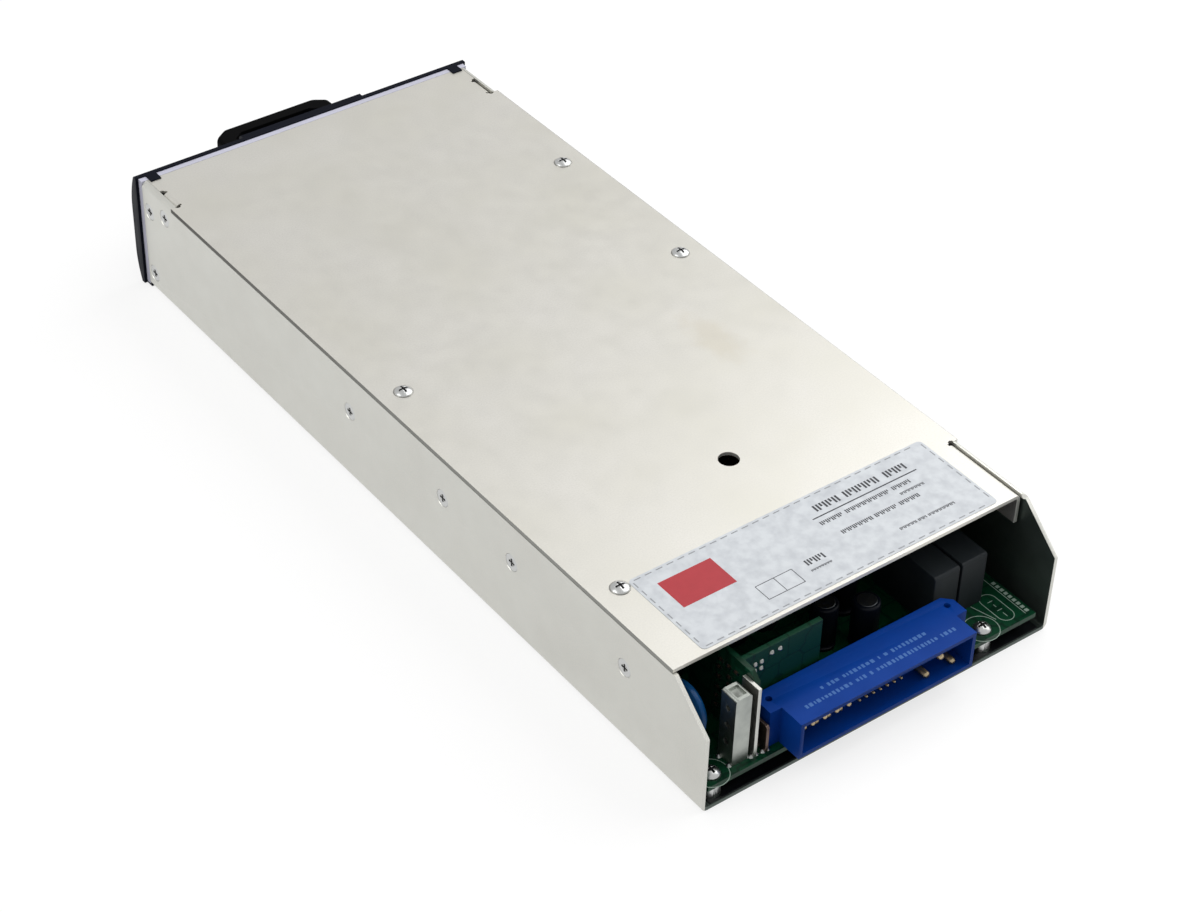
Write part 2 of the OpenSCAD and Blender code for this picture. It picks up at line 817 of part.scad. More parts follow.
module main_board() {
    color([0.05, 0.33, 0.2]) difference() {
        slab([board_right, board_left], [board_front, board_rear], [board_z, top_z]);
        at_standoffs(board_z - eps) cylinder(h = board_t + 2 * eps, r = shank_r + fit);
    }
}

module board_screws() {
    l = board_t + standoff_h - 1.2;
    color("silver") at_standoffs(top_z) pan_screw(l, shank_r, 2.9, 1.9);
}

// ---------------------------------------------------------------- connector

module conn_2d() {
    w = conn_w / 2;
    ear = conn_ear_w / 2;
    chamfer = 2.6;
    polygon([
        [-ear + chamfer, conn_front], [ear - chamfer, conn_front], [ear, conn_front + chamfer],
        [ear, conn_front + conn_ear_l], [w, conn_front + conn_ear_l], [w, conn_rear],
        [-w, conn_rear], [-w, conn_front + conn_ear_l], [-ear, conn_front + conn_ear_l],
        [-ear, conn_front + chamfer]
    ]);
}

// Contact positions as [x, z] from the connector axis and the board
power_columns = [24.4, 20.2, 16, 11.8];
power_rows = [7.2, 3];
mains_contacts = [[-16.7, 2.2], [-21.5, 6.4], [-26.3, 2.2]];
signal_pitch = 2.5;
power_pin_r = 0.8;
mains_pin_r = 1.05;
signal_pin_r = 0.4;
long_pin_l = 8.6;
short_pin_l = 5.6;

module connector_housing() {
    inner = [conn_x - conn_w / 2 + conn_wall, conn_x + conn_w / 2 - conn_wall];
    color([0.02, 0.22, 0.75]) difference() {
        translate([conn_x, 0, top_z]) linear_extrude(conn_h) conn_2d();
        slab(inner, [conn_floor, conn_rear + eps], [top_z + conn_wall, conn_top - conn_wall]);
        for (s = [-1, 1]) translate([conn_x + s * (conn_ear_w / 2 - 3.1), conn_front + 3.4, conn_top - 6])
            cylinder(h = 6 + eps, r = 1);
        at_power_pins() cylinder(h = 8, r = power_pin_r + fit);
        at_mains_pins() cylinder(h = 8, r = mains_pin_r + fit);
        at_signal_pins() cylinder(h = 8, r = signal_pin_r + fit);
    }
}

// Contacts point to the rear and start inside the housing
module at_contact(x, z) {
    translate([conn_x + x, conn_floor - 4, top_z + z]) rotate([-90, 0, 0]) children();
}
module at_power_pins() for (x = power_columns, z = power_rows) at_contact(x, z) children();
module at_mains_pins() for (p = mains_contacts) at_contact(p[0], p[1]) children();
module at_signal_pins() {
    for (i = [-4 : 2], j = [1 : 4]) at_contact(i * signal_pitch, j * signal_pitch) children();
}

// Round contact with a blunt tip
module contact(r, l) {
    cylinder(h = l - r / 2, r = r);
    translate([0, 0, l - r / 2]) cylinder(h = r / 2, r1 = r, r2 = r * 0.6);
}

module connector_power_pins() {
    color("goldenrod") {
        for (x = power_columns) {
            at_contact(x, power_rows[0]) contact(power_pin_r, long_pin_l);
            at_contact(x, power_rows[1]) contact(power_pin_r, short_pin_l);
        }
        at_mains_pins() contact(mains_pin_r, long_pin_l);
    }
}
module connector_signal_pins() {
    color("goldenrod") at_signal_pins() contact(signal_pin_r, short_pin_l);
}

// ---------------------------------------------------------------- heat sinks and power devices

sink_z = [top_z + sink_lift, wall_top - fit];
sink_out = wall_in - fit;
sink_in = sink_out - sink_leg_t;
device = [5, 15.8, 20.6];
device_z = sink_z[1] - sink_flange_t - 0.8 - device[2];

// Bar of heat-sink section at the +X wall
module sink_bar(y) {
    slab([sink_in, sink_out], y, sink_z);
    slab([sink_out - sink_flange_w, sink_out], y, [sink_z[1] - sink_flange_t, sink_z[1]]);
}
module sink_tap() {
    depth = sink_screw_l + 0.1;
    translate([0, 0, -depth]) cylinder(h = depth, r = shank_r + fit);
}

module left_heatsink() {
    color("lightgray") difference() {
        sink_bar(left_sink);
        at_left_wall_screws() sink_tap();
        at_top_screws(0) cylinder(h = chassis_h, r = shank_r + fit);
    }
}
module right_heatsink() {
    color("lightgray") difference() {
        mirror([1, 0, 0]) sink_bar(right_sink);
        at_right_wall_screws() sink_tap();
        at_top_screws(0) cylinder(h = chassis_h, r = shank_r + fit);
    }
}

// Power device standing against the +X heat sink, with three leads into the board
module power_device(y, size) {
    lead = [0.35, 0.6];
    slab([sink_in - size[0], sink_in], [y - size[1] / 2, y + size[1] / 2], [device_z, device_z + size[2]]);
    for (i = [-1, 0, 1]) translate([sink_in - size[0] / 2, y + i * size[1] / 3, 0])
        slab([-lead[0], lead[0]], [-lead[1], lead[1]], [top_z, device_z + eps]);
}
module left_transistors() {
    color([0.12, 0.12, 0.13]) for (y = left_devices) power_device(y, device);
}
module right_transistors() {
    color([0.12, 0.12, 0.13]) mirror([1, 0, 0]) for (y = right_devices) power_device(y, device);
}
module bridge_rectifier() {
    color([0.15, 0.15, 0.16]) mirror([1, 0, 0]) power_device(behind_fans(110), [4.6, 30, 20]);
}

// ---------------------------------------------------------------- wound parts

// Each choke: outer diameter, inner diameter, height, wire and turns
wire_lift = 0.3;
boost = [boost_d, boost_d / 2, 17, 1.9, 20];
boost_x = boost_d / 2 + 11.25 - sink_in;
boost_y = behind_fans(82);
output_ring = [output_ring_d, output_ring_d - 14, 14, 1.8, 14];
output_ring_x = 26;
output_ring_y = from_rear(88);
film_w = 12;
film_x = 9.3 - wall_in;
filter = [filter_d, filter_d / 2, 12, 1.2, 8];
filter_x = film_x + film_w + 6 + filter_d / 2;
filter_rows = [from_rear(57), from_rear(92)];

module at_ring(x, y, ring) translate([x, y, top_z + ring[3] + wire_lift]) children();
module choke_core(ring) color("dimgray") ring_core(ring[0], ring[1], ring[2]);
module choke_turns(ring, first = 0, sweep = 360) {
    color("peru") ring_turns(ring[0], ring[1], ring[2], ring[3], ring[4], first, sweep);
}

module boost_choke_core() at_ring(boost_x, boost_y, boost) choke_core(boost);
module boost_choke_winding() at_ring(boost_x, boost_y, boost) choke_turns(boost);
module output_choke_core() at_ring(output_ring_x, output_ring_y, output_ring) choke_core(output_ring);
module output_choke_winding() at_ring(output_ring_x, output_ring_y, output_ring) choke_turns(output_ring);
module filter_choke_cores() for (y = filter_rows) at_ring(filter_x, y, filter) choke_core(filter);
module filter_choke_windings() {
    for (y = filter_rows, a = [20, 200]) at_ring(filter_x, y, filter) choke_turns(filter, a, 150);
}

core = [core_l, 15, wall_top - top_z - core_top_gap];
core_x = 16;
core_y = behind_fans(110);
core_leg = 12;
core_window = 8.2;
core_yoke = 5;

module transformer_core() {
    color([0.2, 0.2, 0.21]) translate([core_x, core_y, top_z]) difference() {
        slab([-core[0] / 2, core[0] / 2], [-core[1] / 2, core[1] / 2], [0, core[2]]);
        for (s = [-1, 1]) translate([s * (core_leg + core_window) / 2, 0, core_yoke])
            slab([-core_window / 2, core_window / 2], [-core[1], core[1]], [0, core[2] - 2 * core_yoke]);
    }
}
module transformer_winding() {
    gap = 0.3;
    inner = [core_leg / 2 + gap, core[1] / 2 + gap];
    outer = [core_leg / 2 + core_window - gap, core[1] / 2 + core_window];
    color("gold") translate([core_x, core_y, top_z + core_yoke + gap])
        linear_extrude(core[2] - 2 * core_yoke - 2 * gap) difference() {
            round_rect([-outer[0], outer[0]], [-outer[1], outer[1]], 3);
            translate(-inner) square(2 * inner);
        }
}

// ---------------------------------------------------------------- capacitors and small parts

// Electrolytic can with a rolled edge and a groove under it
module can(d, h) {
    rim = 0.8;
    rotate_extrude() difference() {
        union() {
            square([d / 2 - rim, h]);
            square([d / 2, h - rim]);
            translate([d / 2 - rim, h - rim]) circle(rim);
        }
        translate([d / 2 + 0.4, h * 0.12]) circle(1);
    }
}

bulk_y = front_row_y + standoff_r + 1 + bulk_d / 2;
bulk_gap = 3;
bulk_side_gap = 1;
bulk_pitch = bulk_d + bulk_gap;
bulk_room = 2 * (sink_out - max(sink_flange_w, sink_leg_t + device[0]) - bulk_side_gap);
bulk_count = floor((bulk_room + bulk_gap) / bulk_pitch);
module bulk_capacitors() {
    color([0.1, 0.12, 0.18]) for (i = [0 : bulk_count - 1])
        translate([(i - (bulk_count - 1) / 2) * bulk_pitch, bulk_y, top_z]) can(bulk_d, bulk_h);
}
outcap_pitch = outcap_d + 1;
module output_capacitors() {
    color([0.12, 0.16, 0.24]) for (i = [0 : 3], j = [0, 1])
        translate([8 + i * outcap_pitch, from_rear(54) + j * outcap_pitch, top_z]) can(outcap_d, outcap_h);
}
module film_capacitors() {
    film_l = 26;
    color([0.85, 0.7, 0.2]) for (y = [from_rear(70), from_rear(100)])
        slab([film_x, film_x + film_w], [y, y + film_l], [top_z, top_z + 22]);
}
relay_gap = 0.9;
relay_mid = board_right + 9.45 + relay_w + relay_gap / 2;
relay_rear = from_rear(13);
module relays() {
    edge = 0.8;
    color([0.17, 0.19, 0.2]) for (s = [-1, 1])
        translate([relay_mid + s * (relay_w + relay_gap) / 2, relay_rear - relay_l / 2, top_z])
        difference() {
            slab([-relay_w / 2, relay_w / 2], [-relay_l / 2, relay_l / 2], [0, relay_h]);
            for (a = [-1, 1]) translate([0, a * relay_l / 2, relay_h]) rotate([45, 0, 0])
                cube([relay_w + 1, edge, edge], center = true);
        }
}

// Disc with rounded faces, standing on two leads
module disc_varistor() {
    lead_r = 0.4;
    lead_gap = 3.75;
    r = varistor_d / 2;
    t = 2.3;
    place = [board_left - 4.3, from_rear(17), top_z + 5.2 + r];
    color([0.05, 0.3, 0.6]) {
        translate(place) facing_x() rotate_extrude() polygon([
            [0, -t], [0.6 * r, -0.93 * t], [0.88 * r, -0.7 * t], [r, -0.25 * t],
            [r, 0.25 * t], [0.88 * r, 0.7 * t], [0.6 * r, 0.93 * t], [0, t]
        ]);
        for (s = [-1, 1]) translate([place[0], place[1] + s * lead_gap, top_z])
            cylinder(h = 7, r = lead_r);
    }
}

module small_capacitors() {
    color([0.16, 0.18, 0.22]) for (p = [[-10, 20], [0, 26], [-14, 34]])
        translate([p[0], from_rear(p[1]), top_z]) can(8, 15.2);
}

fuse_r = 2.6;
fuse_l = 20;
fuse_z = 4.5;
fuse_y = behind_fans(70);
fuse_x = [boost_x + 25.5, boost_x + 33.5];
module fuses() {
    color("ivory") for (x = fuse_x) translate([x, fuse_y, top_z + fuse_z])
        rotate([90, 0, 0]) cylinder(h = fuse_l, r = fuse_r, center = true);
}
module fuse_clips() {
    color("silver") for (x = fuse_x, s = [-1, 1]) translate([x, fuse_y + s * 7.5, top_z]) difference() {
        slab([-3.3, 3.3], [-2.5, 2.5], [0, fuse_z + 2]);
        translate([0, 0, fuse_z]) rotate([90, 0, 0]) cylinder(h = 6, r = fuse_r + fit, center = true);
        slab([-1.8, 1.8], [-3, 3], [fuse_z, fuse_z + 3]);
    }
}

// Upright boards at the connector, the aluminium block and the busbars beside them
upright_x = conn_ears[1] + 3.6;
upright_y = [from_rear(32), from_rear(4.8)];
upright_top = wall_top - upright_top_gap;
upright_faces = [upright_x - board_t / 2, upright_x + board_t / 2];
module control_board() {
    cut = 2.6;
    color([0.06, 0.36, 0.22]) along_x(upright_faces) polygon([
        [upright_y[0], top_z], [upright_y[1], top_z], [upright_y[1], upright_top - cut],
        [upright_y[1] - cut, upright_top], [upright_y[0], upright_top]
    ]);
}
module output_board() {
    y = conn_front - 0.9;
    color([0.06, 0.33, 0.2]) slab(
        [upright_faces[0] - 27, upright_faces[0]], [y - board_t, y], [top_z, upright_top - 0.2]
    );
}
module board_heatsink() {
    x = [upright_x + 3.4, upright_x + 8.8];
    y = [from_rear(9), from_rear(2.9)];
    top = upright_top - 3;
    wall = 1.1;
    color("silver") difference() {
        intersection() {
            along_y(y) round_rect(x, [top_z - 3, top], 1);
            slab(x, y, [top_z, top]);
        }
        for (z = [7, 13, 19]) translate([x[1] + eps, (y[0] + y[1]) / 2, top_z + z])
            rotate([0, -90, 0]) cylinder(h = 3, r = 0.9);
        slab([x[0] + wall, x[1] - wall], [y[0] + wall, y[1] - wall], [top - 0.8, top + eps]);
    }
}
module tall_busbar() {
    x = upright_faces[1] + 0.1;
    color("whitesmoke") slab([x, x + 1.1], [from_rear(9), from_rear(2.2)], [top_z, upright_top - 2.1]);
}
module short_busbar() {
    y = [from_rear(6.6), from_rear(1.9)];
    top = top_z + 9.2;
    cut = 0.6;
    color("rosybrown") along_x([upright_x - 2.8, upright_x - 1.8]) polygon([
        [y[0], top_z], [y[1], top_z], [y[1], top - cut], [y[1] - cut, top], [y[0], top]
    ]);
}

trimmer = [9.5, 9.5, 10];
trimmer_screw_r = 2.5;
module trimmer_body() {
    color([0.1, 0.2, 0.55]) translate([trimmer_x, trimmer_y, top_z]) difference() {
        slab([-trimmer[0] / 2, trimmer[0] / 2], [-trimmer[1] / 2, trimmer[1] / 2], [0, trimmer[2]]);
        translate([0, 0, trimmer[2] - 1.6]) cylinder(h = 2, r = trimmer_screw_r + fit);
    }
}
module trimmer_screw() {
    color("goldenrod") translate([trimmer_x, trimmer_y, top_z + trimmer[2] - 1.55]) difference() {
        cylinder(h = 2, r = trimmer_screw_r);
        slab([-3, 3], [-0.35, 0.35], [1.1, 3]);
    }
}

// ---------------------------------------------------------------- nodes

chassis();
top_cover();
front_frame();
front_panel();
handle();
handle_screws();
status_lenses();
indicator_board();
fan_frame_left();
fan_frame_right();
fan_rotor_left();
fan_rotor_right();
fan_stators();
fan_screws();
frame_screws();
cover_tab_screws();
cover_screws();
heatsink_screws();
insulating_sheet();
board_standoffs();
main_board();
board_screws();
connector_housing();
connector_power_pins();
connector_signal_pins();
left_heatsink();
right_heatsink();
left_transistors();
right_transistors();
bridge_rectifier();
boost_choke_core();
boost_choke_winding();
bulk_capacitors();
transformer_core();
transformer_winding();
output_choke_core();
output_choke_winding();
output_capacitors();
filter_choke_cores();
filter_choke_windings();
film_capacitors();
relays();
disc_varistor();
fuses();
fuse_clips();
control_board();
output_board();
board_heatsink();
tall_busbar();
short_busbar();
small_capacitors();
trimmer_body();
trimmer_screw();
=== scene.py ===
"""Looks of a plug-in 1U power module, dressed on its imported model.

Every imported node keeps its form: it is shown by a merged copy with softened edges and a
finish of its own. Label, printing, solder and the small parts of the boards are added.
Sizes in the classes are millimetres, save for the studio's lamps and floor, which are in
metres as Blender's own are.
"""

from __future__ import annotations

import json
import logging
import math
import random
from dataclasses import dataclass
from enum import Enum
from functools import partial
from typing import Any, Iterable, Sequence

import bmesh
import bpy
from mathutils import Euler, Matrix, Vector

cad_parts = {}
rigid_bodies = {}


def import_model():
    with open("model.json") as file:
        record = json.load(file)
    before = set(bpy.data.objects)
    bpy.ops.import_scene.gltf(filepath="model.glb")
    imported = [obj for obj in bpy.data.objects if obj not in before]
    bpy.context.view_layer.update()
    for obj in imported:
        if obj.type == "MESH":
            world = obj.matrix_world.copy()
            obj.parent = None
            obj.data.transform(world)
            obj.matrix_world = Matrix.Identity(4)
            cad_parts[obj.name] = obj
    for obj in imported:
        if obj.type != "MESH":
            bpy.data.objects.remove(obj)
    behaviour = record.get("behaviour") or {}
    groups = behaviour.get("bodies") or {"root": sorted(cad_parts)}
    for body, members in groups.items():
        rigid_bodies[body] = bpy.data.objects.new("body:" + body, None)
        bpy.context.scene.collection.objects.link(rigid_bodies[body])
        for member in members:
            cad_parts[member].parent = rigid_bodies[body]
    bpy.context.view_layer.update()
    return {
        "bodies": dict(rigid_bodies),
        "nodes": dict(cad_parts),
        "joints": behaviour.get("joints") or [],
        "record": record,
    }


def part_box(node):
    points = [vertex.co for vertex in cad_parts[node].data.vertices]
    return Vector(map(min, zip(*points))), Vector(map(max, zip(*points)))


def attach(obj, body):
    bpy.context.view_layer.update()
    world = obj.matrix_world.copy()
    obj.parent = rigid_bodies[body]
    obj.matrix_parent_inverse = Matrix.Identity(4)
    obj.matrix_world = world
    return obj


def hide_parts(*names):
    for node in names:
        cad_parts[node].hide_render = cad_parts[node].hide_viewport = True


LOG = logging.getLogger("power_module")
MM = 0.001
MERGE = 1e-6
WAVE_PITCH = 0.3142
WHITE = "#ffffff"
Node = bpy.types.Node
Socket = bpy.types.NodeSocket
Tree = bpy.types.NodeTree
Material = bpy.types.Material
Piece = bpy.types.Object
Mesh = bmesh.types.BMesh
Pair = tuple[float, float]
Triple = tuple[float, float, float]
Box = tuple[Vector, Vector]
Stroke = tuple[Sequence[float], Sequence[float], float]


# ------------------------------------------------------------------ colour and nodes


def linear(hex_colour: str) -> tuple[float, float, float, float]:
    """Turn an sRGB hex colour into linear RGBA.

    Args:
        hex_colour: six hex digits, with or without a leading hash.

    Returns:
        The linear red, green and blue, and an alpha of 1.
    """
    digits = hex_colour.lstrip("#")
    channels = [int(digits[i : i + 2], 16) / 255 for i in (0, 2, 4)]
    low = [c / 12.92 for c in channels]
    high = [((c + 0.055) / 1.055) ** 2.4 for c in channels]
    r, g, b = (lo if c <= 0.04045 else hi for c, lo, hi in zip(channels, low, high))
    return (r, g, b, 1.0)


def add_node(
    tree: Tree, kind: str, inputs: dict[Any, Any] | None = None, **settings: Any
) -> Node:
    """Add a shader node with its settings and links.

    Args:
        tree: the node tree that takes the node.
        kind: the node's type name after "ShaderNode".
        inputs: socket name or index to a constant, a socket, or a node for its first output.
        settings: attributes of the node.

    Returns:
        The new node.
    """
    node = tree.nodes.new("ShaderNode" + kind)
    for name, value in settings.items():
        setattr(node, name, value)
    for key, value in (inputs or {}).items():
        source = value.outputs[0] if isinstance(value, Node) else value
        if isinstance(source, Socket):
            tree.links.new(source, node.inputs[key])
        else:
            node.inputs[key].default_value = source
    return node


class Canvas:
    """A new material with one principled shader and coordinates in millimetres."""

    def __init__(
        self, name: str, roughness: float, metallic: float = 0.0, shine: float = 0.5
    ) -> None:
        """Start the material.

        Args:
            name: the material's name.
            roughness: the shader's roughness.
            metallic: the shader's metallic value.
            shine: how strongly a plastic reflects, 0.5 being bare and clean.
        """
        self.material = bpy.data.materials.new(name)
        self.material.use_nodes = True
        self.tree = self.material.node_tree
        self.tree.nodes.clear()
        self.roughness = roughness
        self.add = partial(add_node, self.tree)
        self.shader = self.add(
            "BsdfPrincipled",
            {"Roughness": roughness, "Metallic": metallic, "Specular IOR Level": shine},
        )
        self.add("OutputMaterial", {"Surface": self.shader})
        place = self.add("TexCoord").outputs["Object"]
        self.mm = self.add("Mapping", {"Vector": place, "Scale": (1 / MM, 1 / MM, 1 / MM)})

    def patches(
        self, size: float, ends: Pair, detail: float = 3.0, where: Node | None = None
    ) -> Node:
        """Return irregular patches that run from 0 to 1.

        Args:
            size: the width of a patch in millimetres.
            ends: the values of the noise that become 0 and 1.
            detail: how many finer octaves it holds.
            where: other coordinates than the plain ones.

        Returns:
            The node whose first output is the pattern.
        """
        place = where or self.mm
        noise = self.add("TexNoise", {"Vector": place, "Scale": 1 / size, "Detail": detail})
        return self.add("MapRange", {0: noise, 1: ends[0], 2: ends[1]})

    def layered(self, colour: Any, *layers: tuple[Any, Any]) -> Any:
        """Return a colour with others laid over it.

        Args:
            colour: the lowest colour, as a hex string or a socket.
            layers: the share, from 0 to 1, and the colour of each layer, lowest first.

        Returns:
            The blended colour, or the hex string where nothing is laid over it.
        """
        for share, over in layers:
            low, high = (linear(c) if isinstance(c, str) else c for c in (colour, over))
            blend = self.add("Mix", {0: share, 6: low, 7: high}, data_type="RGBA")
            colour = blend.outputs[2]
        return colour

    def finish(
        self,
        colour: Any,
        relief: tuple[Any, float, float] | None = None,
        gloss: tuple[Node, float] | None = None,
    ) -> Material:
        """Connect what varies over the surface and hand over the material.

        Args:
            colour: a hex string where it is even, a socket where it varies.
            relief: a height of 0 to 1, its depth in millimetres and the share of it used.
            gloss: a pattern of 0 to 1 and how far it swings the roughness in all.

        Returns:
            The finished material.
        """
        base = self.shader.inputs["Base Color"]
        if isinstance(colour, str):
            base.default_value = linear(colour)
        else:
            self.tree.links.new(colour, base)
        if relief is not None:
            height, depth, share = relief
            skin = self.add("Bump", {"Height": height, "Distance": depth * MM, "Strength": share})
            self.tree.links.new(skin.outputs[0], self.shader.inputs["Normal"])
        if gloss is not None:
            pattern, swing = gloss
            sums = {0: pattern, 1: swing, 2: self.roughness - swing / 2}
            rough = self.add("Math", sums, operation="MULTIPLY_ADD")
            self.tree.links.new(rough.outputs[0], self.shader.inputs["Roughness"])
        return self.material


# ------------------------------------------------------------------ finishes


@dataclass(frozen=True)
class PlatedSteel:
    """Electro-plated steel sheet: pale and cloudy, with the grain of the mill roll.

    The stain is given by its x and y, the painted shade inside the case by half its width and
    its height, and the sheared edge, unplated and with painted shade of the seam over it, by the
    distance from the middle past which it shows.
    """

    name: str
    colour: str = "#dcdad4"
    cloud: str = "#d6d4ca"
    grain: str = "#d4d2cb"
    roughness: float = 0.42
    metallic: float = 0.85
    cloud_size: float = 30.0
    grain_size: float = 0.5
    grain_depth: float = 0.012
    gloss_size: float = 6.0
    stain: Pair | None = None
    stain_colour: str = "#c4b89e"
    stain_strength: float = 0.22
    stain_squeeze: float = 0.45
    stain_rag: Pair = (5.0, 9.0)
    stain_reach: Pair = (7.0, 12.0)
    # Painted shade on the faces inside the case, where little light falls.
    inside: Pair | None = None
    inside_shade_colour: str = "#56605b"
    # The sheared side edges: unplated steel, with painted shade of the seam that darkens them
    # towards the front.
    shaded_cut_edge: float = 0.0
    edge_and_shade_colours: tuple[str, str] = ("#3f3d38", "#8b8b86")
    edge_shade_run: Pair = (-140.0, 60.0)

    def material(self) -> Material:
        """Mix wide clouds and a grain that is coarser than real, so that it shows.

        Returns:
            The finished material.
        """
        paint = Canvas(self.name, self.roughness, self.metallic)
        fine = {"Vector": paint.mm, "Scale": 1 / self.grain_size, "Detail": 2.0}
        grain = paint.add("TexNoise", fine)
        speckle = paint.add("MapRange", {0: grain, 1: 0.35, 2: 0.75})
        clouds = paint.patches(self.cloud_size, (0.3, 0.75), 2.0)
        layers = [(clouds, self.cloud), (speckle, self.grain)]
        if self.stain is not None:
            layers.append((self._stain(paint, *self.stain), self.stain_colour))
        # Painted shade darkens the faces inside the case.
        if self.inside is not None:
            layers.append((self._inside_shade(paint, *self.inside), self.inside_shade_colour))
        # The cover's cut edge: unplated steel with painted shade of the seam over it.
        if self.shaded_cut_edge > 0:
            layers.append(self._cut_edge_and_shade(paint))
        relief = (grain, self.grain_depth, 0.35)
        gloss = (paint.patches(self.gloss_size, (0.3, 0.7)), 0.08)
        return paint.finish(paint.layered(self.colour, *layers), relief, gloss)

    def _inside_shade(self, paint: Canvas, half: float, top: float) -> Node:
        """Return 1 on the faces inside the case, which get painted shade.

        Args:
            paint: the material in the making.
            half: half the width inside.
            top: the height inside.

        Returns:
            The node whose first output is that share.
        """
        axes = paint.add("SeparateXYZ", {0: paint.mm}).outputs
        aside = paint.add("Math", {0: axes[0]}, operation="ABSOLUTE")
        within = paint.add("Math", {0: aside, 1: half}, operation="LESS_THAN")
        below = paint.add("Math", {0: axes[2], 1: top}, operation="LESS_THAN")
        return paint.add("Math", {0: within, 1: below}, operation="MULTIPLY")

    def _cut_edge_and_shade(self, paint: Canvas) -> tuple[Node, Socket]:
        """Find the sheared side edges, unplated steel with painted shade of the seam over it,
        which grow paler towards the rear.

        Args:
            paint: the material in the making.

        Returns:
            The node that is 1 on them, and their colour.
        """
        axes = paint.add("SeparateXYZ", {0: paint.mm}).outputs
        aside = paint.add("Math", {0: axes[0]}, operation="ABSOLUTE")
        edge = paint.add("Math", {0: aside, 1: self.shaded_cut_edge}, operation="GREATER_THAN")
        along = paint.add("MapRange", {0: axes[1], 1: self.edge_shade_run[0], 2: self.edge_shade_run[1]})
        front, rear = self.edge_and_shade_colours
        return edge, paint.layered(front, (along, rear))

    def _stain(self, paint: Canvas, x: float, y: float) -> Node:
        """Return the strength of a dried-on mark with a ragged outline.

        Args:
            paint: the material in the making.
            x: where its middle is across.
            y: where its middle is along.

        Returns:
            The node whose first output is that strength.
        """
        squeeze = self.stain_squeeze
        placed = {"Location": (-x, -y * squeeze, 0.0), "Scale": (1.0, squeeze, 0.0)}
        centred = paint.add("Mapping", {"Vector": paint.mm, **placed})
        distance = paint.add("VectorMath", {0: centred}, operation="LENGTH").outputs["Value"]
        rag, sway = self.stain_rag
        noise = paint.add("TexNoise", {"Vector": paint.mm, "Scale": 1 / rag, "Detail": 4.0})
        ragged = paint.add("Math", {0: noise, 1: sway, 2: distance}, operation="MULTIPLY_ADD")
        near, far = self.stain_reach
        return paint.add("MapRange", {0: ragged, 1: near, 2: far, 3: self.stain_strength, 4: 0.0})


@dataclass(frozen=True)
class BareMetal:
    """Machined, drawn or plated metal: fine drawn lines along one axis, worn in patches."""

    name: str
    colour: str
    roughness: float = 0.3
    lines: Triple = (1.0, 1.0, 1.0)
    dark: str = ""
    line_size: float = 0.25
    line_depth: float = 0.01
    wear_size: float = 4.0

    def material(self) -> Material:
        """Draw lines a quarter of a millimetre apart, coarser than real so that they show.

        Returns:
            The finished material.
        """
        paint = Canvas(self.name, self.roughness, 1.0)
        where = paint.add("Mapping", {"Vector": paint.mm, "Scale": self.lines})
        fine = {"Vector": where, "Scale": 1 / self.line_size, "Detail": 2.0}
        drawn = paint.add("TexNoise", fine)
        worn = [(paint.patches(self.wear_size, (0.35, 0.7)), self.dark)] if self.dark else []
        relief = (drawn, self.line_depth, 0.3)
        return paint.finish(paint.layered(self.colour, *worn), relief, (drawn, 0.12))


@dataclass(frozen=True)
class Moulded:
    """Injection-moulded plastic: spark-eroded grit that softens the gloss in patches."""

    name: str
    colour: str
    roughness: float = 0.45
    texture: float = 0.35
    depth: float = 0.02
    worn: str = ""
    shine: float = 0.2
    patch_size: float = 9.0

    def material(self) -> Material:
        """Raise grit a third of a millimetre wide, coarser than real so that it shows.

        Returns:
            The finished material.
        """
        paint = Canvas(self.name, self.roughness, shine=self.shine)
        fine = {"Vector": paint.mm, "Scale": 1 / self.texture, "Detail": 2.0}
        grit = paint.add("TexNoise", fine)
        patches = paint.patches(self.patch_size, (0.35, 0.75))
        worn = [(patches, self.worn)] if self.worn else []
        colour = paint.layered(self.colour, *worn)
        return paint.finish(colour, (grit, self.depth, 0.5), (patches, 0.1))


@dataclass(frozen=True)
class PowderCoat:
    """Powder-coated sheet: soft sheen over an orange-peel skin."""

    name: str
    colour: str
    dust: str
    roughness: float = 0.4
    peel_size: float = 1.0
    peel_depth: float = 0.02
    dust_size: float = 14.0

    def material(self) -> Material:
        """Raise orange peel a millimetre wide under thin dust.

        Returns:
            The finished material.
        """
        paint = Canvas(self.name, self.roughness)
        soft = {"Vector": paint.mm, "Scale": 1 / self.peel_size, "Detail": 1.0}
        peel = paint.add("TexNoise", soft)
        dust = paint.patches(self.dust_size, (0.4, 0.8))
        colour = paint.layered(self.colour, (dust, self.dust))
        return paint.finish(colour, (peel, self.peel_depth, 0.4))


@dataclass(frozen=True)
class SolderMask:
    """Circuit board: glossy mask, paler where it covers copper, with gaps between areas."""

    name: str
    bare: str
    copper: str
    weave: str = "#062d1d"
    roughness: float = 0.38
    shine: float = 0.22
    copper_size: float = 7.0
    copper_depth: float = 0.03
    weave_size: float = 0.8

    def material(self) -> Material:
        """Lay copper areas, split by half-millimetre gaps, over the weave of the glass.

        Returns:
            The finished material.
        """
        paint = Canvas(self.name, self.roughness, shine=self.shine)
        cells = {"Vector": paint.mm, "Scale": 1 / self.copper_size, "Randomness": 0.75}
        near, far = (
            paint.add("TexVoronoi", cells, distance="CHEBYCHEV", feature=which)
            for which in ("F1", "F2")
        )
        edge = paint.add("Math", {0: far, 1: near}, operation="SUBTRACT")
        copper = paint.add("MapRange", {0: edge, 1: 0.05, 2: 0.09})
        across = paint.add("Mapping", {"Vector": paint.mm, "Scale": (1.0, 0.3, 1.0)})
        weave = paint.patches(self.weave_size, (0.4, 0.6), 1.0, across)
        colour = paint.layered(self.bare, (weave, self.weave), (copper, self.copper))
        return paint.finish(colour, (copper, self.copper_depth, 0.6))


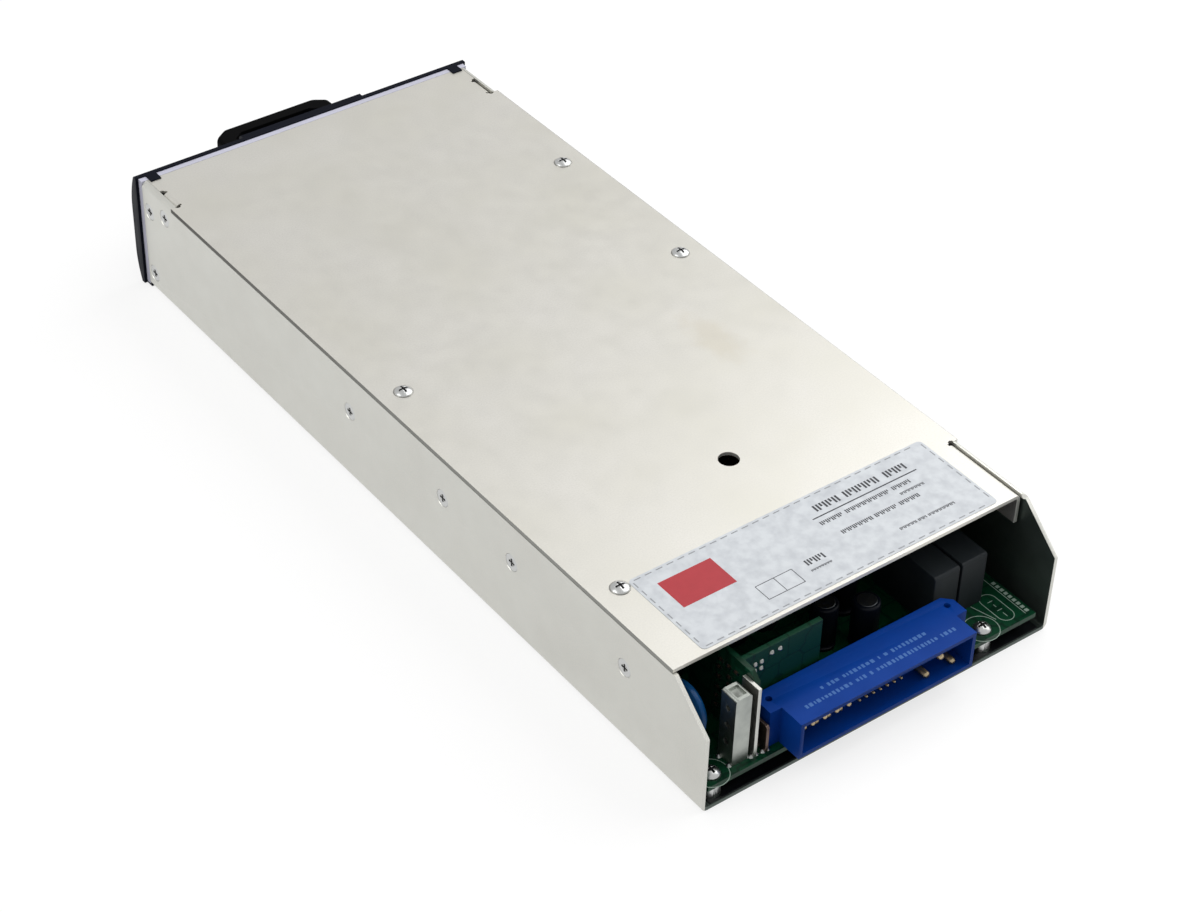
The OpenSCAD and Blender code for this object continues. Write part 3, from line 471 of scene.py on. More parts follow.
@dataclass(frozen=True)
class Wound:
    """Enamelled wire or wound tape: thin stripes across the winding."""

    name: str
    colour: str
    stripe: str
    pitch: float = 0.8
    roughness: float = 0.35
    metallic: float = 0.0
    depth: float = 0.05

    def material(self) -> Material:
        """Lay stripes one wire apart: the wave's own pitch is a tenth of pi.

        Returns:
            The finished material.
        """
        paint = Canvas(self.name, self.roughness, self.metallic)
        bands = {"Vector": paint.mm, "Scale": WAVE_PITCH / self.pitch, "Distortion": 0.6}
        wave = paint.add("TexWave", bands, bands_direction="Z").outputs["Fac"]
        share = paint.add("MapRange", {0: wave, 1: 0.2, 2: 0.8})
        colour = paint.layered(self.stripe, (share, self.colour))
        return paint.finish(colour, (wave, self.depth, 0.5))


@dataclass(frozen=True)
class Printed:
    """Ink or polyester film: flat colour, some with a trace of mottle."""

    name: str
    colour: str
    roughness: float = 0.4
    mottle: str = ""
    mottle_size: float = 3.0
    skin_size: float = 1.2
    skin_depth: float = 0.006

    def material(self) -> Material:
        """Lay mottle over a barely uneven skin.

        Returns:
            The finished material.
        """
        paint = Canvas(self.name, self.roughness)
        soft = {"Vector": paint.mm, "Scale": 1 / self.skin_size, "Detail": 2.0}
        skin = paint.add("TexNoise", soft)
        mottle = []
        if self.mottle:
            mottle.append((paint.patches(self.mottle_size, (0.35, 0.7)), self.mottle))
        return paint.finish(paint.layered(self.colour, *mottle), (skin, self.skin_depth, 0.3))


class Look(Enum):
    """Every finish that the module wears."""

    # Zinc-plated sheet reads pale and slightly warm; inside the case it carries painted shade,
    # dull and greenish.
    CASE = PlatedSteel("plated_steel_case", "#d3d4ce", "#ccccc6", inside=(61.36, 38.6))
    # The cover's sheared side edges are unplated steel with painted shade of the seam, darker
    # towards the front.
    COVER = PlatedSteel("plated_steel_cover", stain=(-35.5, 27.0), shaded_cut_edge=62.42)
    # Powder coat gives the frame a soft lavender without hard highlights.
    FRAME = PowderCoat("lavender_powder_coat", "#c3c3d3", "#b9b9c6")
    # Black mouldings differ in gloss: navy and satin in front, dead matt on the handle.
    PANEL = Moulded("navy_black_abs", "#090c17", 0.45, worn="#0c101c", shine=0.05)
    HANDLE = Moulded("black_nylon", "#050506", 0.6, worn="#080809", shine=0.03)
    FAN = Moulded("black_pbt", "#151516", 0.5)
    # Zinc screws are bright with small hard glints; their cross recesses are dark with painted
    # shade.
    SCREW = BareMetal("bright_zinc", "#c6c7c6", 0.3)
    RECESS = BareMetal("screw_recess", "#2c2c2d", 0.6)
    BLACK_SCREW = BareMetal("black_oxide", "#2a2a2c", 0.35)
    # The lenses are smooth enough to catch a round glint.
    LENS = Moulded("clear_polycarbonate", "#cfe6c6", 0.12, depth=0.002)
    # Solder mask is a deep wet green, lighter over copper.
    BOARD = SolderMask("green_solder_mask", "#022a19", "#053c24")
    RISER = SolderMask("green_riser_mask", "#072a1b", "#0b3826")
    FILM = Printed("black_polyester_film", "#0b0c0f", 0.3, "#121418")
    # The connector is a full blue with a low sheen, its contacts a pale dulled gold.
    CONNECTOR = Moulded("blue_pbt", "#053a8e", 0.42, depth=0.01, worn="#053584", shine=0.1)
    GOLD = BareMetal("gold_flash", "#b3a283", 0.38)
    # Sawn aluminium is pale and streaked up its fins; epoxy and ferrite are dull and dark.
    ALUMINIUM = BareMetal("sawn_aluminium", "#adb1ab", 0.38, (1.0, 1.0, 0.15), "#9a9e99")
    DEVICE = Moulded("black_epoxy", "#16171a", 0.4)
    FERRITE = Moulded("sintered_ferrite", "#232426", 0.55, 0.6, 0.04)
    # Enamelled wire shines like bare copper between dark gaps, tape stays flat yellow.
    COPPER = Wound("enamelled_copper", "#b4673a", "#8a4a24", 1.2, 0.28, 1.0)
    TAPE = Wound("yellow_polyester_tape", "#c9a21c", "#b08c12", 9.0)
    # Shrink sleeve ripples softly; dipped and boxed parts have a waxy, rounded look.
    SLEEVE = Moulded("dark_shrink_sleeve", "#0b0f17", 0.4, 1.5, shine=0.12)
    BOX_FILM = Moulded("yellow_epoxy_box", "#b8962a", 0.4)
    RELAY = Moulded("grey_relay_case", "#1d2225", 0.5, worn="#23282b")
    VARISTOR = Moulded("blue_epoxy_dip", "#0d4a80", 0.35, 1.8, 0.05)
    # Glazed ceramic is ivory with a clear shine.
    CERAMIC = Moulded("glazed_ceramic", "#dcd8c8", 0.25)
    # Tinned bars are streaked along their length, bare copper is brown and dull.
    TINNED = BareMetal("tinned_copper", "#c9c9c3", 0.38, (0.25, 0.25, 0.05))
    COPPER_BAR = BareMetal("dull_copper", "#75645c", 0.4, (1.0, 1.0, 0.2), "#62534c")
    # The trimmer's case is a bright, slightly glossy blue.
    TRIMMER = Moulded("blue_trimmer_case", "#1b3f86", 0.35)
    # The label is a cool white film, its inks flat and thin.
    LABEL = Printed("white_polyester_label", "#cfd3d7", 0.45, "#bdc1c6")
    BLACK_INK = Printed("black_label_ink", "#25272e", 0.45)
    GREY_INK = Printed("grey_label_ink", "#8d9094", 0.5)
    RED_INK = Printed("red_label_ink", "#ab2731", 0.45, "#a6242e")
    PALE_INK = Printed("pale_blue_ink", "#3566aa", 0.5)
    # Board print is a greyed white; solder gleams beside brown chips; the can tops are bare
    # aluminium darkened to grey with painted shade.
    SILK = Printed("white_silkscreen", "#9fb3a6", 0.5)
    SOLDER = BareMetal("solder", "#9a9c9a", 0.3)
    CHIP_BODY = Moulded("chip_ceramic", "#3c3128", 0.4)
    CAN_TOP = BareMetal("can_aluminium", "#55585a", 0.4)

    def material(self) -> Material:
        """Return this finish's material, made on first use."""
        made = bpy.data.materials.get(self.value.name)
        return made or self.value.material()


# ------------------------------------------------------------------ meshes


def block(bm: Mesh, low: Sequence[float], high: Sequence[float]) -> None:
    """Add a box between two corners.

    Args:
        bm: the mesh that takes it.
        low: its lowest corner in millimetres.
        high: its highest corner.
    """
    size = Vector(high) - Vector(low)
    centre = (Vector(high) + Vector(low)) / 2
    place = Matrix.Translation(centre * MM) @ Matrix.Diagonal((*(size * MM), 1.0))
    bmesh.ops.create_cube(bm, size=1.0, matrix=place)


def bar(bm: Mesh, start: Sequence[float], end: Sequence[float], width: float, z: Pair) -> None:
    """Add a flat straight stroke.

    Args:
        bm: the mesh that takes it.
        start: x and y of its first end, in millimetres.
        end: x and y of its other end.
        width: its width.
        z: its lowest and highest height.
    """
    a, b = Vector((*start, 0.0)), Vector((*end, 0.0))
    run = b - a
    turn = Matrix.Rotation(math.atan2(run.y, run.x), 4, "Z")
    centre = (a + b) / 2 + Vector((0, 0, (z[0] + z[1]) / 2))
    size = Matrix.Diagonal((run.length * MM, width * MM, (z[1] - z[0]) * MM, 1.0))
    bmesh.ops.create_cube(bm, size=1.0, matrix=Matrix.Translation(centre * MM) @ turn @ size)


def disc(
    bm: Mesh,
    centre: Sequence[float],
    radii: Pair,
    height: float,
    turn: Matrix | None = None,
    segments: int = 32,
) -> None:
    """Add a closed cylinder or cone that stands on its centre point.

    Args:
        bm: the mesh that takes it.
        centre: the middle of its foot, in millimetres.
        radii: its radius at the foot and at the top.
        height: its height.
        turn: a rotation from +Z to its own axis.
        segments: how many sides it has.
    """
    lift = Matrix.Translation(Vector((0, 0, height / 2)) * MM)
    bmesh.ops.create_cone(
        bm,
        cap_ends=True,
        segments=segments,
        radius1=radii[0] * MM,
        radius2=radii[1] * MM,
        depth=height * MM,
        matrix=Matrix.Translation(Vector(centre) * MM) @ (turn or Matrix.Identity(4)) @ lift,
    )


def ring(
    bm: Mesh,
    centre: Sequence[float],
    radius: float,
    width: float,
    z: Pair,
    arc: Pair = (0.0, 360.0),
) -> None:
    """Add a flat ring, or part of one, spun from a small rectangle.

    Args:
        bm: the mesh that takes it.
        centre: x and y of its centre, in millimetres.
        radius: its middle radius.
        width: its width.
        z: its lowest and highest height.
        arc: its first and last angle in degrees.
    """
    first, last = (math.radians(a) for a in arc)
    full = abs(arc[1] - arc[0]) >= 360.0
    section = [
        Vector((radius + side * width / 2, 0.0, height))
        for side, height in ((-1, z[0]), (1, z[0]), (1, z[1]), (-1, z[1]))
    ]
    hub = Vector((*centre, 0.0))
    turn = Matrix.Rotation(first, 3, "Z")
    verts = [bm.verts.new((turn @ p + hub) * MM) for p in section]
    face = bm.faces.new(verts)
    bmesh.ops.spin(
        bm,
        geom=[face, *face.edges, *face.verts] if not full else list(face.edges) + verts,
        cent=hub * MM,
        axis=(0, 0, 1),
        angle=last - first,
        steps=max(6, int(abs(arc[1] - arc[0]) / 8)),
        use_merge=full,
        use_duplicate=False,
    )
    if full:
        bmesh.ops.delete(bm, geom=[face], context="FACES_ONLY")


def middle(box: Box) -> Vector:
    """Return the middle of a box."""
    return (box[0] + box[1]) / 2


def made_piece(name: str, bm: Mesh, look: Look, slot: str, smooth: float = 35.0) -> Piece:
    """Turn a bmesh into a piece that rides on the case.

    Args:
        name: the piece's name.
        bm: its mesh, which is freed.
        look: its finish.
        slot: the record's material slot, handed on to dressed.
        smooth: the angle in degrees over which an edge stays sharp.

    Returns:
        The new object.
    """
    bmesh.ops.remove_doubles(bm, verts=bm.verts, dist=MERGE)
    bmesh.ops.recalc_face_normals(bm, faces=bm.faces)
    mesh = bpy.data.meshes.new(name)
    bm.to_mesh(mesh)
    bm.free()
    return dressed(name, mesh, look, slot, "case", smooth, 0.0)


def dressed(
    name: str,
    mesh: bpy.types.Mesh,
    look: Look,
    slot: str,
    body: str,
    smooth: float,
    soft: float,
) -> Piece:
    """Link a mesh as a piece, smooth it, soften its edges and paint it.

    Args:
        name: the piece's name.
        mesh: its mesh.
        look: its finish.
        slot: the record's material slot; not used.
        body: the body that it rides on.
        smooth: the angle in degrees over which an edge stays sharp.
        soft: the width in millimetres of a bevel along its sharp edges, or 0.

    Returns:
        The new object.
    """
    mesh.materials.clear()
    mesh.materials.append(look.material())
    for face in mesh.polygons:
        face.use_smooth = True
        face.material_index = 0
    mesh.set_sharp_from_angle(angle=math.radians(smooth))
    piece = bpy.data.objects.new(name, mesh)
    bpy.context.scene.collection.objects.link(piece)
    if soft > 0:
        bevel = piece.modifiers.new("softened_edges", "BEVEL")
        bevel.width = soft * MM
        bevel.segments = 2
        bevel.limit_method = "ANGLE"
        bevel.angle_limit = math.radians(smooth)
        bevel.use_clamp_overlap = True
        bevel.harden_normals = True
    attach(piece, body)
    return piece


@dataclass
class Packed:
    """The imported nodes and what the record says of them."""

    nodes: dict[str, Piece]
    slots: dict[str, str]
    bodies: dict[str, str]

    @classmethod
    def read(cls, frame: dict[str, Any]) -> "Packed":
        """Read the nodes, their slots and their bodies.


        Returns:
            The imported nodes.
        """
        record = frame["record"]
        slots = {part["node"]: part["material_slot"] for part in record["subparts"]}
        groups = record["behaviour"]["bodies"]
        bodies = {node: body for body, members in groups.items() for node in members}
        return cls(frame["nodes"], slots, bodies)

    def box(self, node: str) -> Box:
        """Return a node's lowest and highest corner in millimetres."""
        low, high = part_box(node)
        return low / MM, high / MM

    def merged(self, node: str) -> Mesh:
        """Copy a node's solid and join its loose triangles.

        Args:
            node: the node's name.

        Returns:
            The copy, for the caller to free.
        """
        bm = bmesh.new()
        bm.from_mesh(self.nodes[node].data)
        bmesh.ops.remove_doubles(bm, verts=bm.verts, dist=MERGE)
        return bm

    def show(self, node: str, look: Look, soft: float = 0.0, smooth: float = 32.0) -> Piece:
        """Show a node by a merged copy of its own solid.

        Args:
            node: the node's name.
            look: its finish.
            soft: the width in millimetres of the bevel along its edges, or 0.
            smooth: the angle in degrees over which an edge stays sharp.

        Returns:
            The piece that stands for the node.
        """
        bm = self.merged(node)
        if soft > 0:
            flat = math.radians(0.5)
            bmesh.ops.dissolve_limit(bm, angle_limit=flat, verts=bm.verts, edges=bm.edges)
        name = node + "_shown"
        mesh = bpy.data.meshes.new(name)
        bm.to_mesh(mesh)
        bm.free()
        piece = dressed(name, mesh, look, self.slots[node], self.bodies[node], smooth, soft)
        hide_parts(node)
        return piece

    def loose_boxes(self, node: str) -> list[Box]:
        """Return the box of each loose part of a node.

        Args:
            node: the node whose parts are wanted.

        Returns:
            The lowest and highest corner of each part in millimetres, ordered by place.
        """
        bm = self.merged(node)
        left = set(bm.verts)
        boxes = []
        while left:
            front = [left.pop()]
            island = list(front)
            while front:
                vert = front.pop()
                for edge in vert.link_edges:
                    other = edge.other_vert(vert)
                    if other in left:
                        left.discard(other)
                        front.append(other)
                        island.append(other)
            axes = list(zip(*(v.co for v in island)))
            low, high = (Vector(pick(axis) for axis in axes) / MM for pick in (min, max))
            boxes.append((low, high))
        bm.free()
        return sorted(boxes, key=lambda box: tuple(box[0]))


# ------------------------------------------------------------------ the module's parts

Coats = tuple[tuple[str, Look, float], ...]


@dataclass
class SubAssembly:
    """Pieces dressed together: each node with its finish and the width of its soft edges."""

    packed: Packed
    coats: Coats = ()

    def build(self) -> list[Piece]:
        """Show each node in its coat."""
        return [self.packed.show(node, look, soft) for node, look, soft in self.coats]


@dataclass
class SheetMetal(SubAssembly):
    """The case tray, its cover and the front frame, their edges rolled over."""

    coats: Coats = (
        ("chassis", Look.CASE, 0.12),
        ("top_cover", Look.COVER, 0.12),
        ("front_frame", Look.FRAME, 0.12),
    )


@dataclass
class Front(SubAssembly):
    """The moulded panel, its handle and its two lights."""

    coats: Coats = (
        ("front_panel", Look.PANEL, 0.15),
        ("handle", Look.HANDLE, 0.25),
        ("handle_screws", Look.BLACK_SCREW, 0.0),
        ("status_lenses", Look.LENS, 0.0),
        ("indicator_board", Look.BOARD, 0.0),
    )


@dataclass
class Cooling(SubAssembly):
    """The two fans behind the front panel, with their coil packs and screws."""

    coats: Coats = (
        ("fan_frame_left", Look.FAN, 0.0),
        ("fan_frame_right", Look.FAN, 0.0),
        ("fan_rotor_left", Look.FAN, 0.0),
        ("fan_rotor_right", Look.FAN, 0.0),
        ("fan_stators", Look.COPPER, 0.0),
        ("fan_screws", Look.BLACK_SCREW, 0.0),
    )


@dataclass
class Fasteners(SubAssembly):
    """Screws and standoffs of the case and the board.

    A recess is a cross: its arms' length and half width are shares of the head's radius.
    """

    coats: Coats = (("board_standoffs", Look.SCREW, 0.0),)
    upright: tuple[str, ...] = ("cover_screws", "board_screws")
    sideways: tuple[str, ...] = ("frame_screws", "cover_tab_screws", "heatsink_screws")
    arm_length: float = 0.5
    arm_width: float = 0.1
    floor_depth: float = 0.6
    full_depth: float = 1.0
    wall_slope: float = 0.3
    slack: float = 0.03

    def build(self) -> list[Piece]:
        """Dress every bright screw, with painted shade in its cross recess.

        Returns:
            The pieces in order.
        """
        pieces = super().build()
        for names, axis in ((self.upright, 2), (self.sideways, 0)):
            for name in names:
                piece = self.packed.show(name, Look.SCREW)
                self._paint_recess_shade(piece, name, axis)
                pieces.append(piece)
        return pieces

    def _paint_recess_shade(self, piece: Piece, name: str, axis: int) -> None:
        """Give the faces inside each recess painted shade.

        Args:
            piece: the screws as shown.
            name: their node.
            axis: 0 if they point along X, 2 if they stand upright.
        """
        piece.data.materials.append(Look.RECESS.material())
        across = [i for i in range(3) if i != axis]
        screws = self.packed.loose_boxes(name)
        for face in piece.data.polygons:
            spot = face.center / MM
            low, high = min(screws, key=lambda box: (middle(box) - spot).length)
            core = middle((low, high))
            outward = 1.0 if axis == 2 or core.x > 0 else -1.0
            end = high[axis] if outward > 0 else low[axis]
            radius = (high[across[0]] - low[across[0]]) / 2
            near, far = sorted(abs(spot[i] - core[i]) for i in across)
            in_cross = (
                near <= self.arm_width * radius + self.slack
                and far <= self.arm_length * radius + self.slack
            )
            is_wall = abs(face.normal[axis]) < self.wall_slope
            depth = (end - spot[axis]) * outward
            if in_cross and depth < self.full_depth and (is_wall or depth > self.floor_depth):
                face.material_index = 1


@dataclass(frozen=True)
class TickRow:
    """A printed row: where it starts on the label, its groups' lengths and its height."""

    across: float
    along: float
    widths: tuple[float, ...]
    tall: float


@dataclass
class RatingLabel(SubAssembly):
    """The label on the cover: a film with a dashed edge, rows of ticks and a plain block.

    Places on it count from its left edge and down from its top edge, as its reader sees it.
    Shapes of ticks and words are shares of their row's height.
    """

    centre_x: float = -0.8
    width: float = 104.5
    rear_gap: float = 1.2
    depth: float = 32.8
    corner: float = 1.5
    lift: float = 0.01
    film: float = 0.12
    ink: float = 0.03
    dash: float = 2.2
    dash_gap: float = 1.5
    dash_width: float = 0.35
    inset: float = 0.9
    tick_width: float = 0.25
    tick_pitch: float = 0.44
    tick_heights: Triple = (1.0, 1.0, 0.56)
    word_gap: float = 0.7
    heading: TickRow = TickRow(60.0, 6.0, (9.0, 13.0, 7.5), 2.6)
    rule: Stroke = ((57.0, 9.2), (95.0, 9.2), 0.4)
    rows: tuple[TickRow, ...] = (
        TickRow(57.5, 11.8, (8.0, 16.0, 6.5), 1.5),
        TickRow(84.0, 14.8, (9.0,), 1.0),
        TickRow(60.0, 17.8, (11.0, 8.0, 7.5), 1.5),
        TickRow(74.0, 26.0, (6.0, 3.0, 9.5), 1.0),
        TickRow(43.5, 22.0, (6.5,), 2.2),
        TickRow(43.0, 25.2, (7.5,), 0.7),
    )
    open_box: tuple[float, float, float, float] = (26.5, 21.5, 12.5, 6.0)
    box_line: float = 0.2
    red_block: Stroke = ((6.0, 11.2), (24.0, 11.2), 11.6)

    def __post_init__(self) -> None:
        """Find the cover's top and rear edge, which place the label."""
        _, top = self.packed.box("top_cover")
        self.base = top.z
        self.face = top.z + self.film
        self.rear = top.y - self.rear_gap

    def build(self) -> list[Piece]:
        """Lay the film and print on it.

        Returns:
            The film and its three prints.
        """
        return [
            self._film(),
            self._print("label_dashes", Look.GREY_INK, self._dashes()),
            self._print("label_lines", Look.BLACK_INK, self._lines()),
            self._print("label_red_block", Look.RED_INK, [self._placed(self.red_block)]),
        ]

    def spot(self, across: float, along: float) -> Pair:
        """Return x and y of a spot on the label."""
        return (self.centre_x + self.width / 2 - across, self.rear - self.depth + along)

    def _placed(self, stroke: Stroke) -> Stroke:
        """Return a stroke of the label as a stroke of the module."""
        return self.spot(*stroke[0]), self.spot(*stroke[1]), stroke[2]

    def _film(self) -> Piece:
        """Make the film, its corners rounded.

        Returns:
            The new piece.
        """
        bm = bmesh.new()
        low = (self.centre_x - self.width / 2, self.rear - self.depth, self.base + self.lift)
        high = (self.centre_x + self.width / 2, self.rear, self.face)
        block(bm, low, high)
        bmesh.ops.bevel(
            bm,
            geom=[e for e in bm.edges if abs(e.verts[0].co.z - e.verts[1].co.z) > MERGE],
            offset=self.corner * MM,
            segments=6,
            profile=0.5,
            affect="EDGES",
            material=-1,
        )
        return made_piece("label_film", bm, Look.LABEL, "cover_sheet")

    def _print(self, name: str, look: Look, strokes: Iterable[Stroke]) -> Piece:
        """Return a printed piece of straight strokes.

        Args:
            name: the piece's name.
            look: its ink.
            strokes: the start, end and width of each stroke.

        Returns:
            The new piece.
        """
        bm = bmesh.new()
        for start, end, width in strokes:
            bar(bm, start, end, width, (self.face, self.face + self.ink))
        return made_piece(name, bm, look, "cover_sheet")

    def _dashes(self) -> Iterable[Stroke]:
        """Run dashes along the four sides of the border.

        Yields:
            The start, end and width of each dash.
        """
        left, right = self.inset, self.width - self.inset
        top, bottom = self.inset, self.depth - self.inset
        pitch = self.dash + self.dash_gap
        sides = (
            ((left, top), (right, top)),
            ((left, bottom), (right, bottom)),
            ((left, top), (left, bottom)),
            ((right, top), (right, bottom)),
        )
        for start, end in sides:
            a, b = Vector(self.spot(*start)), Vector(self.spot(*end))
            run = b - a
            step = run.normalized()
            for i in range(int(run.length / pitch)):
                first = a + step * (i * pitch + self.dash_gap / 2)
                yield first, first + step * self.dash, self.dash_width

    def _ticks(self, row: TickRow) -> Iterable[Stroke]:
        """Fill a row with groups of upright ticks, which spell nothing.

        Args:
            row: the row.

        Yields:
            The start, end and width of each tick.
        """
        across, foot = row.across, row.along - row.tall / 2
        pitch = row.tall * self.tick_pitch
        for width in row.widths:
            for i in range(max(1, round(width / pitch))):
                x = across + (i + 0.5) * pitch
                reach = row.tall * self.tick_heights[i % 3]
                yield self._placed(((x, foot), (x, foot + reach), row.tall * self.tick_width))
            across += width + row.tall * self.word_gap

    def _lines(self) -> Iterable[Stroke]:
        """Set out the black print: a heading, a rule, rows of ticks and an open box.

        Yields:
            The start, end and width of each stroke.
        """
        yield from self._ticks(self.heading)
        yield self._placed(self.rule)
        for row in self.rows:
            yield from self._ticks(row)
        left, top, wide, tall = self.open_box
        right, bottom, centre = left + wide, top + tall, left + wide / 2
        ends = [(left, top), (right, top), (right, bottom), (left, bottom), (left, top)]
        for start, end in (*zip(ends, ends[1:]), ((centre, top), (centre, bottom))):
            yield self._placed((start, end, self.box_line))


@dataclass
class BlindMate(SubAssembly):
    """The blue connector with its contacts and the faint marks moulded on its top.

    A row of marks is its distance from the rear and the span that it fills from the +X end.
    """

    coats: Coats = (
        ("connector_housing", Look.CONNECTOR, 0.2),
        ("connector_power_pins", Look.GOLD, 0.0),
        ("connector_signal_pins", Look.GOLD, 0.0),
    )
    mark_rows: tuple[Triple, ...] = ((4.6, 9.0, 62.0), (7.9, 17.0, 54.0))
    mark_tall: float = 1.3
    mark_height: float = 0.02
    widths: tuple[float, ...] = (0.5, 0.8, 0.8, 1.1)
    heights: tuple[float, ...] = (0.8, 1.0, 1.0)
    gaps: tuple[float, ...] = (0.5, 0.6, 0.6, 1.6)

    def build(self) -> list[Piece]:
        """Dress the housing and the contacts and mark the top."""
        return [*super().build(), self._marks()]

    def _marks(self) -> Piece:
        """Make two rows of short pale ticks on the top face.

        Returns:
            The new piece.
        """
        _, high = self.packed.box("connector_housing")
        dice = random.Random(4)
        bm = bmesh.new()
        z = (high.z, high.z + self.mark_height)
        for row, first, last in self.mark_rows:
            y = high.y - row
            across = first
            while across < last:
                width = dice.choice(self.widths)
                x = high.x - across
                tall = self.mark_tall * dice.choice(self.heights)
                bar(bm, (x, y), (x - width, y), tall, z)
                across += width + dice.choice(self.gaps)
        return made_piece("connector_marks", bm, Look.PALE_INK, "connector_blue")


@dataclass
class Board(SubAssembly):
    """The main board with its printing, its solder and the film under it.

    The printing counts in from the board's -X side and its rear edge.
    """

    coats: Coats = (
        ("main_board", Look.BOARD, 0.08),
        ("insulating_sheet", Look.FILM, 0.0),
    )
    silk: float = 0.03
    silk_width: float = 0.22
    ring_radius: float = 5.2
    ring_reach: float = 15.0
    oval_x: float = 7.6
    oval_ends: Pair = (4.6, 11.4)
    oval_radius: float = 2.6
    strokes: tuple[tuple[Pair, Pair], ...] = (
        ((2.6, 1.5), (2.6, 20.0)),
        ((5.0, 4.6), (5.0, 11.4)),
        ((10.2, 4.6), (10.2, 11.4)),
        ((7.6, 3.6), (7.6, 5.4)),
        ((6.7, 6.8), (8.5, 6.8)),
        ((7.6, 8.2), (7.6, 9.4)),
        ((6.7, 10.8), (8.5, 10.8)),
        ((11.2, 4.4), (13.5, 12.5)),
    )
    pad_count: int = 9
    pad_span: Pair = (0.8, 2.0)
    pad_first: float = 2.4
    pad_pitch: float = 1.7
    pad_width: float = 1.1
    soldered: tuple[str, ...] = ("tall_busbar", "short_busbar", "board_heatsink")
    solder_radii: Pair = (0.9, 0.35)
    solder_height: float = 0.7
    solder_in: Pair = (1.0, 0.8)
    solder_out: float = 0.3

    def build(self) -> list[Piece]:
        """Dress the board and print on it."""
        return [*super().build(), self._silkscreen(), self._solder()]

    def _silkscreen(self) -> Piece:
        """Print rings round the rear screws, a long oval, strokes and a row of pads.

        Returns:
            The new piece.
        """
        low, high = self.packed.box("main_board")
        z = (high.z, high.z + self.silk)
        bm = bmesh.new()
        for place in map(middle, self.packed.loose_boxes("board_screws")):
            if place.y > high.y - self.ring_reach:
                ring(bm, (place.x, place.y), self.ring_radius, self.silk_width, z)
        x, y = low.x, high.y
        for end, arc in zip(self.oval_ends, ((0.0, 180.0), (180.0, 360.0))):
            ring(bm, (x + self.oval_x, y - end), self.oval_radius, self.silk_width, z, arc)
        for a, b in self.strokes:
            bar(bm, (x + a[0], y - a[1]), (x + b[0], y - b[1]), self.silk_width, z)
        near, far = self.pad_span
        for i in range(self.pad_count):
            along = y - self.pad_first - i * self.pad_pitch
            bar(bm, (x + near, along), (x + far, along), self.pad_width, z)
        return made_piece("board_silkscreen", bm, Look.SILK, "board_green")

    def _solder(self) -> Piece:
        """Make the solder round the feet of the rear metal parts.

        Returns:
            The new piece.
        """
        bm = bmesh.new()
        _, board = self.packed.box("main_board")
        front, rear = self.solder_in
        for node in self.soldered:
            low, high = self.packed.box(node)
            for y in (low.y + front, high.y - rear):
                for x in (low.x - self.solder_out, high.x + self.solder_out):
                    place = (x, y, board.z)
                    disc(bm, place, self.solder_radii, self.solder_height, segments=16)
        return made_piece("board_solder", bm, Look.SOLDER, "tinned_metal", smooth=60)


@dataclass
class Risers(SubAssembly):
    """The two upright boards at the connector with the metal parts beside them.

    Chips and solder count in from a board's rear or +X end and down from its top.
    """

    coats: Coats = (
        ("control_board", Look.RISER, 0.05),
        ("output_board", Look.RISER, 0.05),
        ("board_heatsink", Look.ALUMINIUM, 0.12),
        ("tall_busbar", Look.TINNED, 0.1),
        ("short_busbar", Look.COPPER_BAR, 0.1),
    )
    grid: tuple[int, int] = (6, 4)
    chip_first: Pair = (3.0, 4.0)
    chip_pitch: Pair = (3.6, 3.4)
    chip_stray: Pair = (1.2, 0.8)
    bare_end: Pair = (8.0, 4.5)
    chip_half: Pair = (0.5, 0.4)
    chip_height: float = 0.5
    end_place: float = 0.75
    end_half: Pair = (0.22, 0.42)
    end_height: float = 0.52
    dots: tuple[Pair, ...] = (
        (4.0, 4.0),
        (6.2, 4.0),
        (4.0, 6.4),
        (6.2, 6.4),
        (9.6, 2.6),
        (12.4, 2.6),
    )
    dot_radii: Pair = (0.8, 0.3)
    dot_height: float = 0.6

    def build(self) -> list[Piece]:
        """Dress the boards and mount their small parts."""
        return [*super().build(), *self._chips(), self._dots()]

    def _chips(self) -> list[Piece]:
        """Make the control board's chips and their end caps, with none low at its rear end.

        Returns:
            The chips, then the caps.
        """
        chips, ends = bmesh.new(), bmesh.new()
        _, high = self.packed.box("control_board")
        dice = random.Random(11)
        rows, columns = self.grid
        for row in range(rows):
            for column in range(columns):
                y = high.y - self.chip_first[0] - column * self.chip_pitch[0]
                y -= dice.uniform(0, self.chip_stray[0])
                z = high.z - self.chip_first[1] - row * self.chip_pitch[1]
                z -= dice.uniform(0, self.chip_stray[1])
                if y > high.y - self.bare_end[0] and z < high.z - self.bare_end[1]:
                    continue
                self._on_board(chips, (high.x, y, z), self.chip_half, self.chip_height)
                for side in (-1, 1):
                    place = (high.x, y + side * self.end_place, z)
                    self._on_board(ends, place, self.end_half, self.end_height)
        return [
            made_piece("riser_chips", chips, Look.CHIP_BODY, "device_black"),
            made_piece("riser_chip_ends", ends, Look.SOLDER, "tinned_metal"),
        ]

    @staticmethod
    def _on_board(bm: Mesh, foot: Triple, half: Pair, height: float) -> None:
        """Add a box that stands on a board, given the middle of its foot and half its sides."""
        x, y, z = foot
        block(bm, (x, y - half[0], z - half[1]), (x + height, y + half[0], z + half[1]))

    def _dots(self) -> Piece:
        """Make the solder points on the output board's rear face.

        Returns:
            The new piece.
        """
        bm = bmesh.new()
        _, high = self.packed.box("output_board")
        rearward = Euler((-math.pi / 2, 0, 0)).to_matrix().to_4x4()
        for x, z in self.dots:
            place = (high.x - x, high.y, high.z - z)
            disc(bm, place, self.dot_radii, self.dot_height, rearward, 14)
        return made_piece("riser_solder", bm, Look.SOLDER, "tinned_metal", smooth=60)


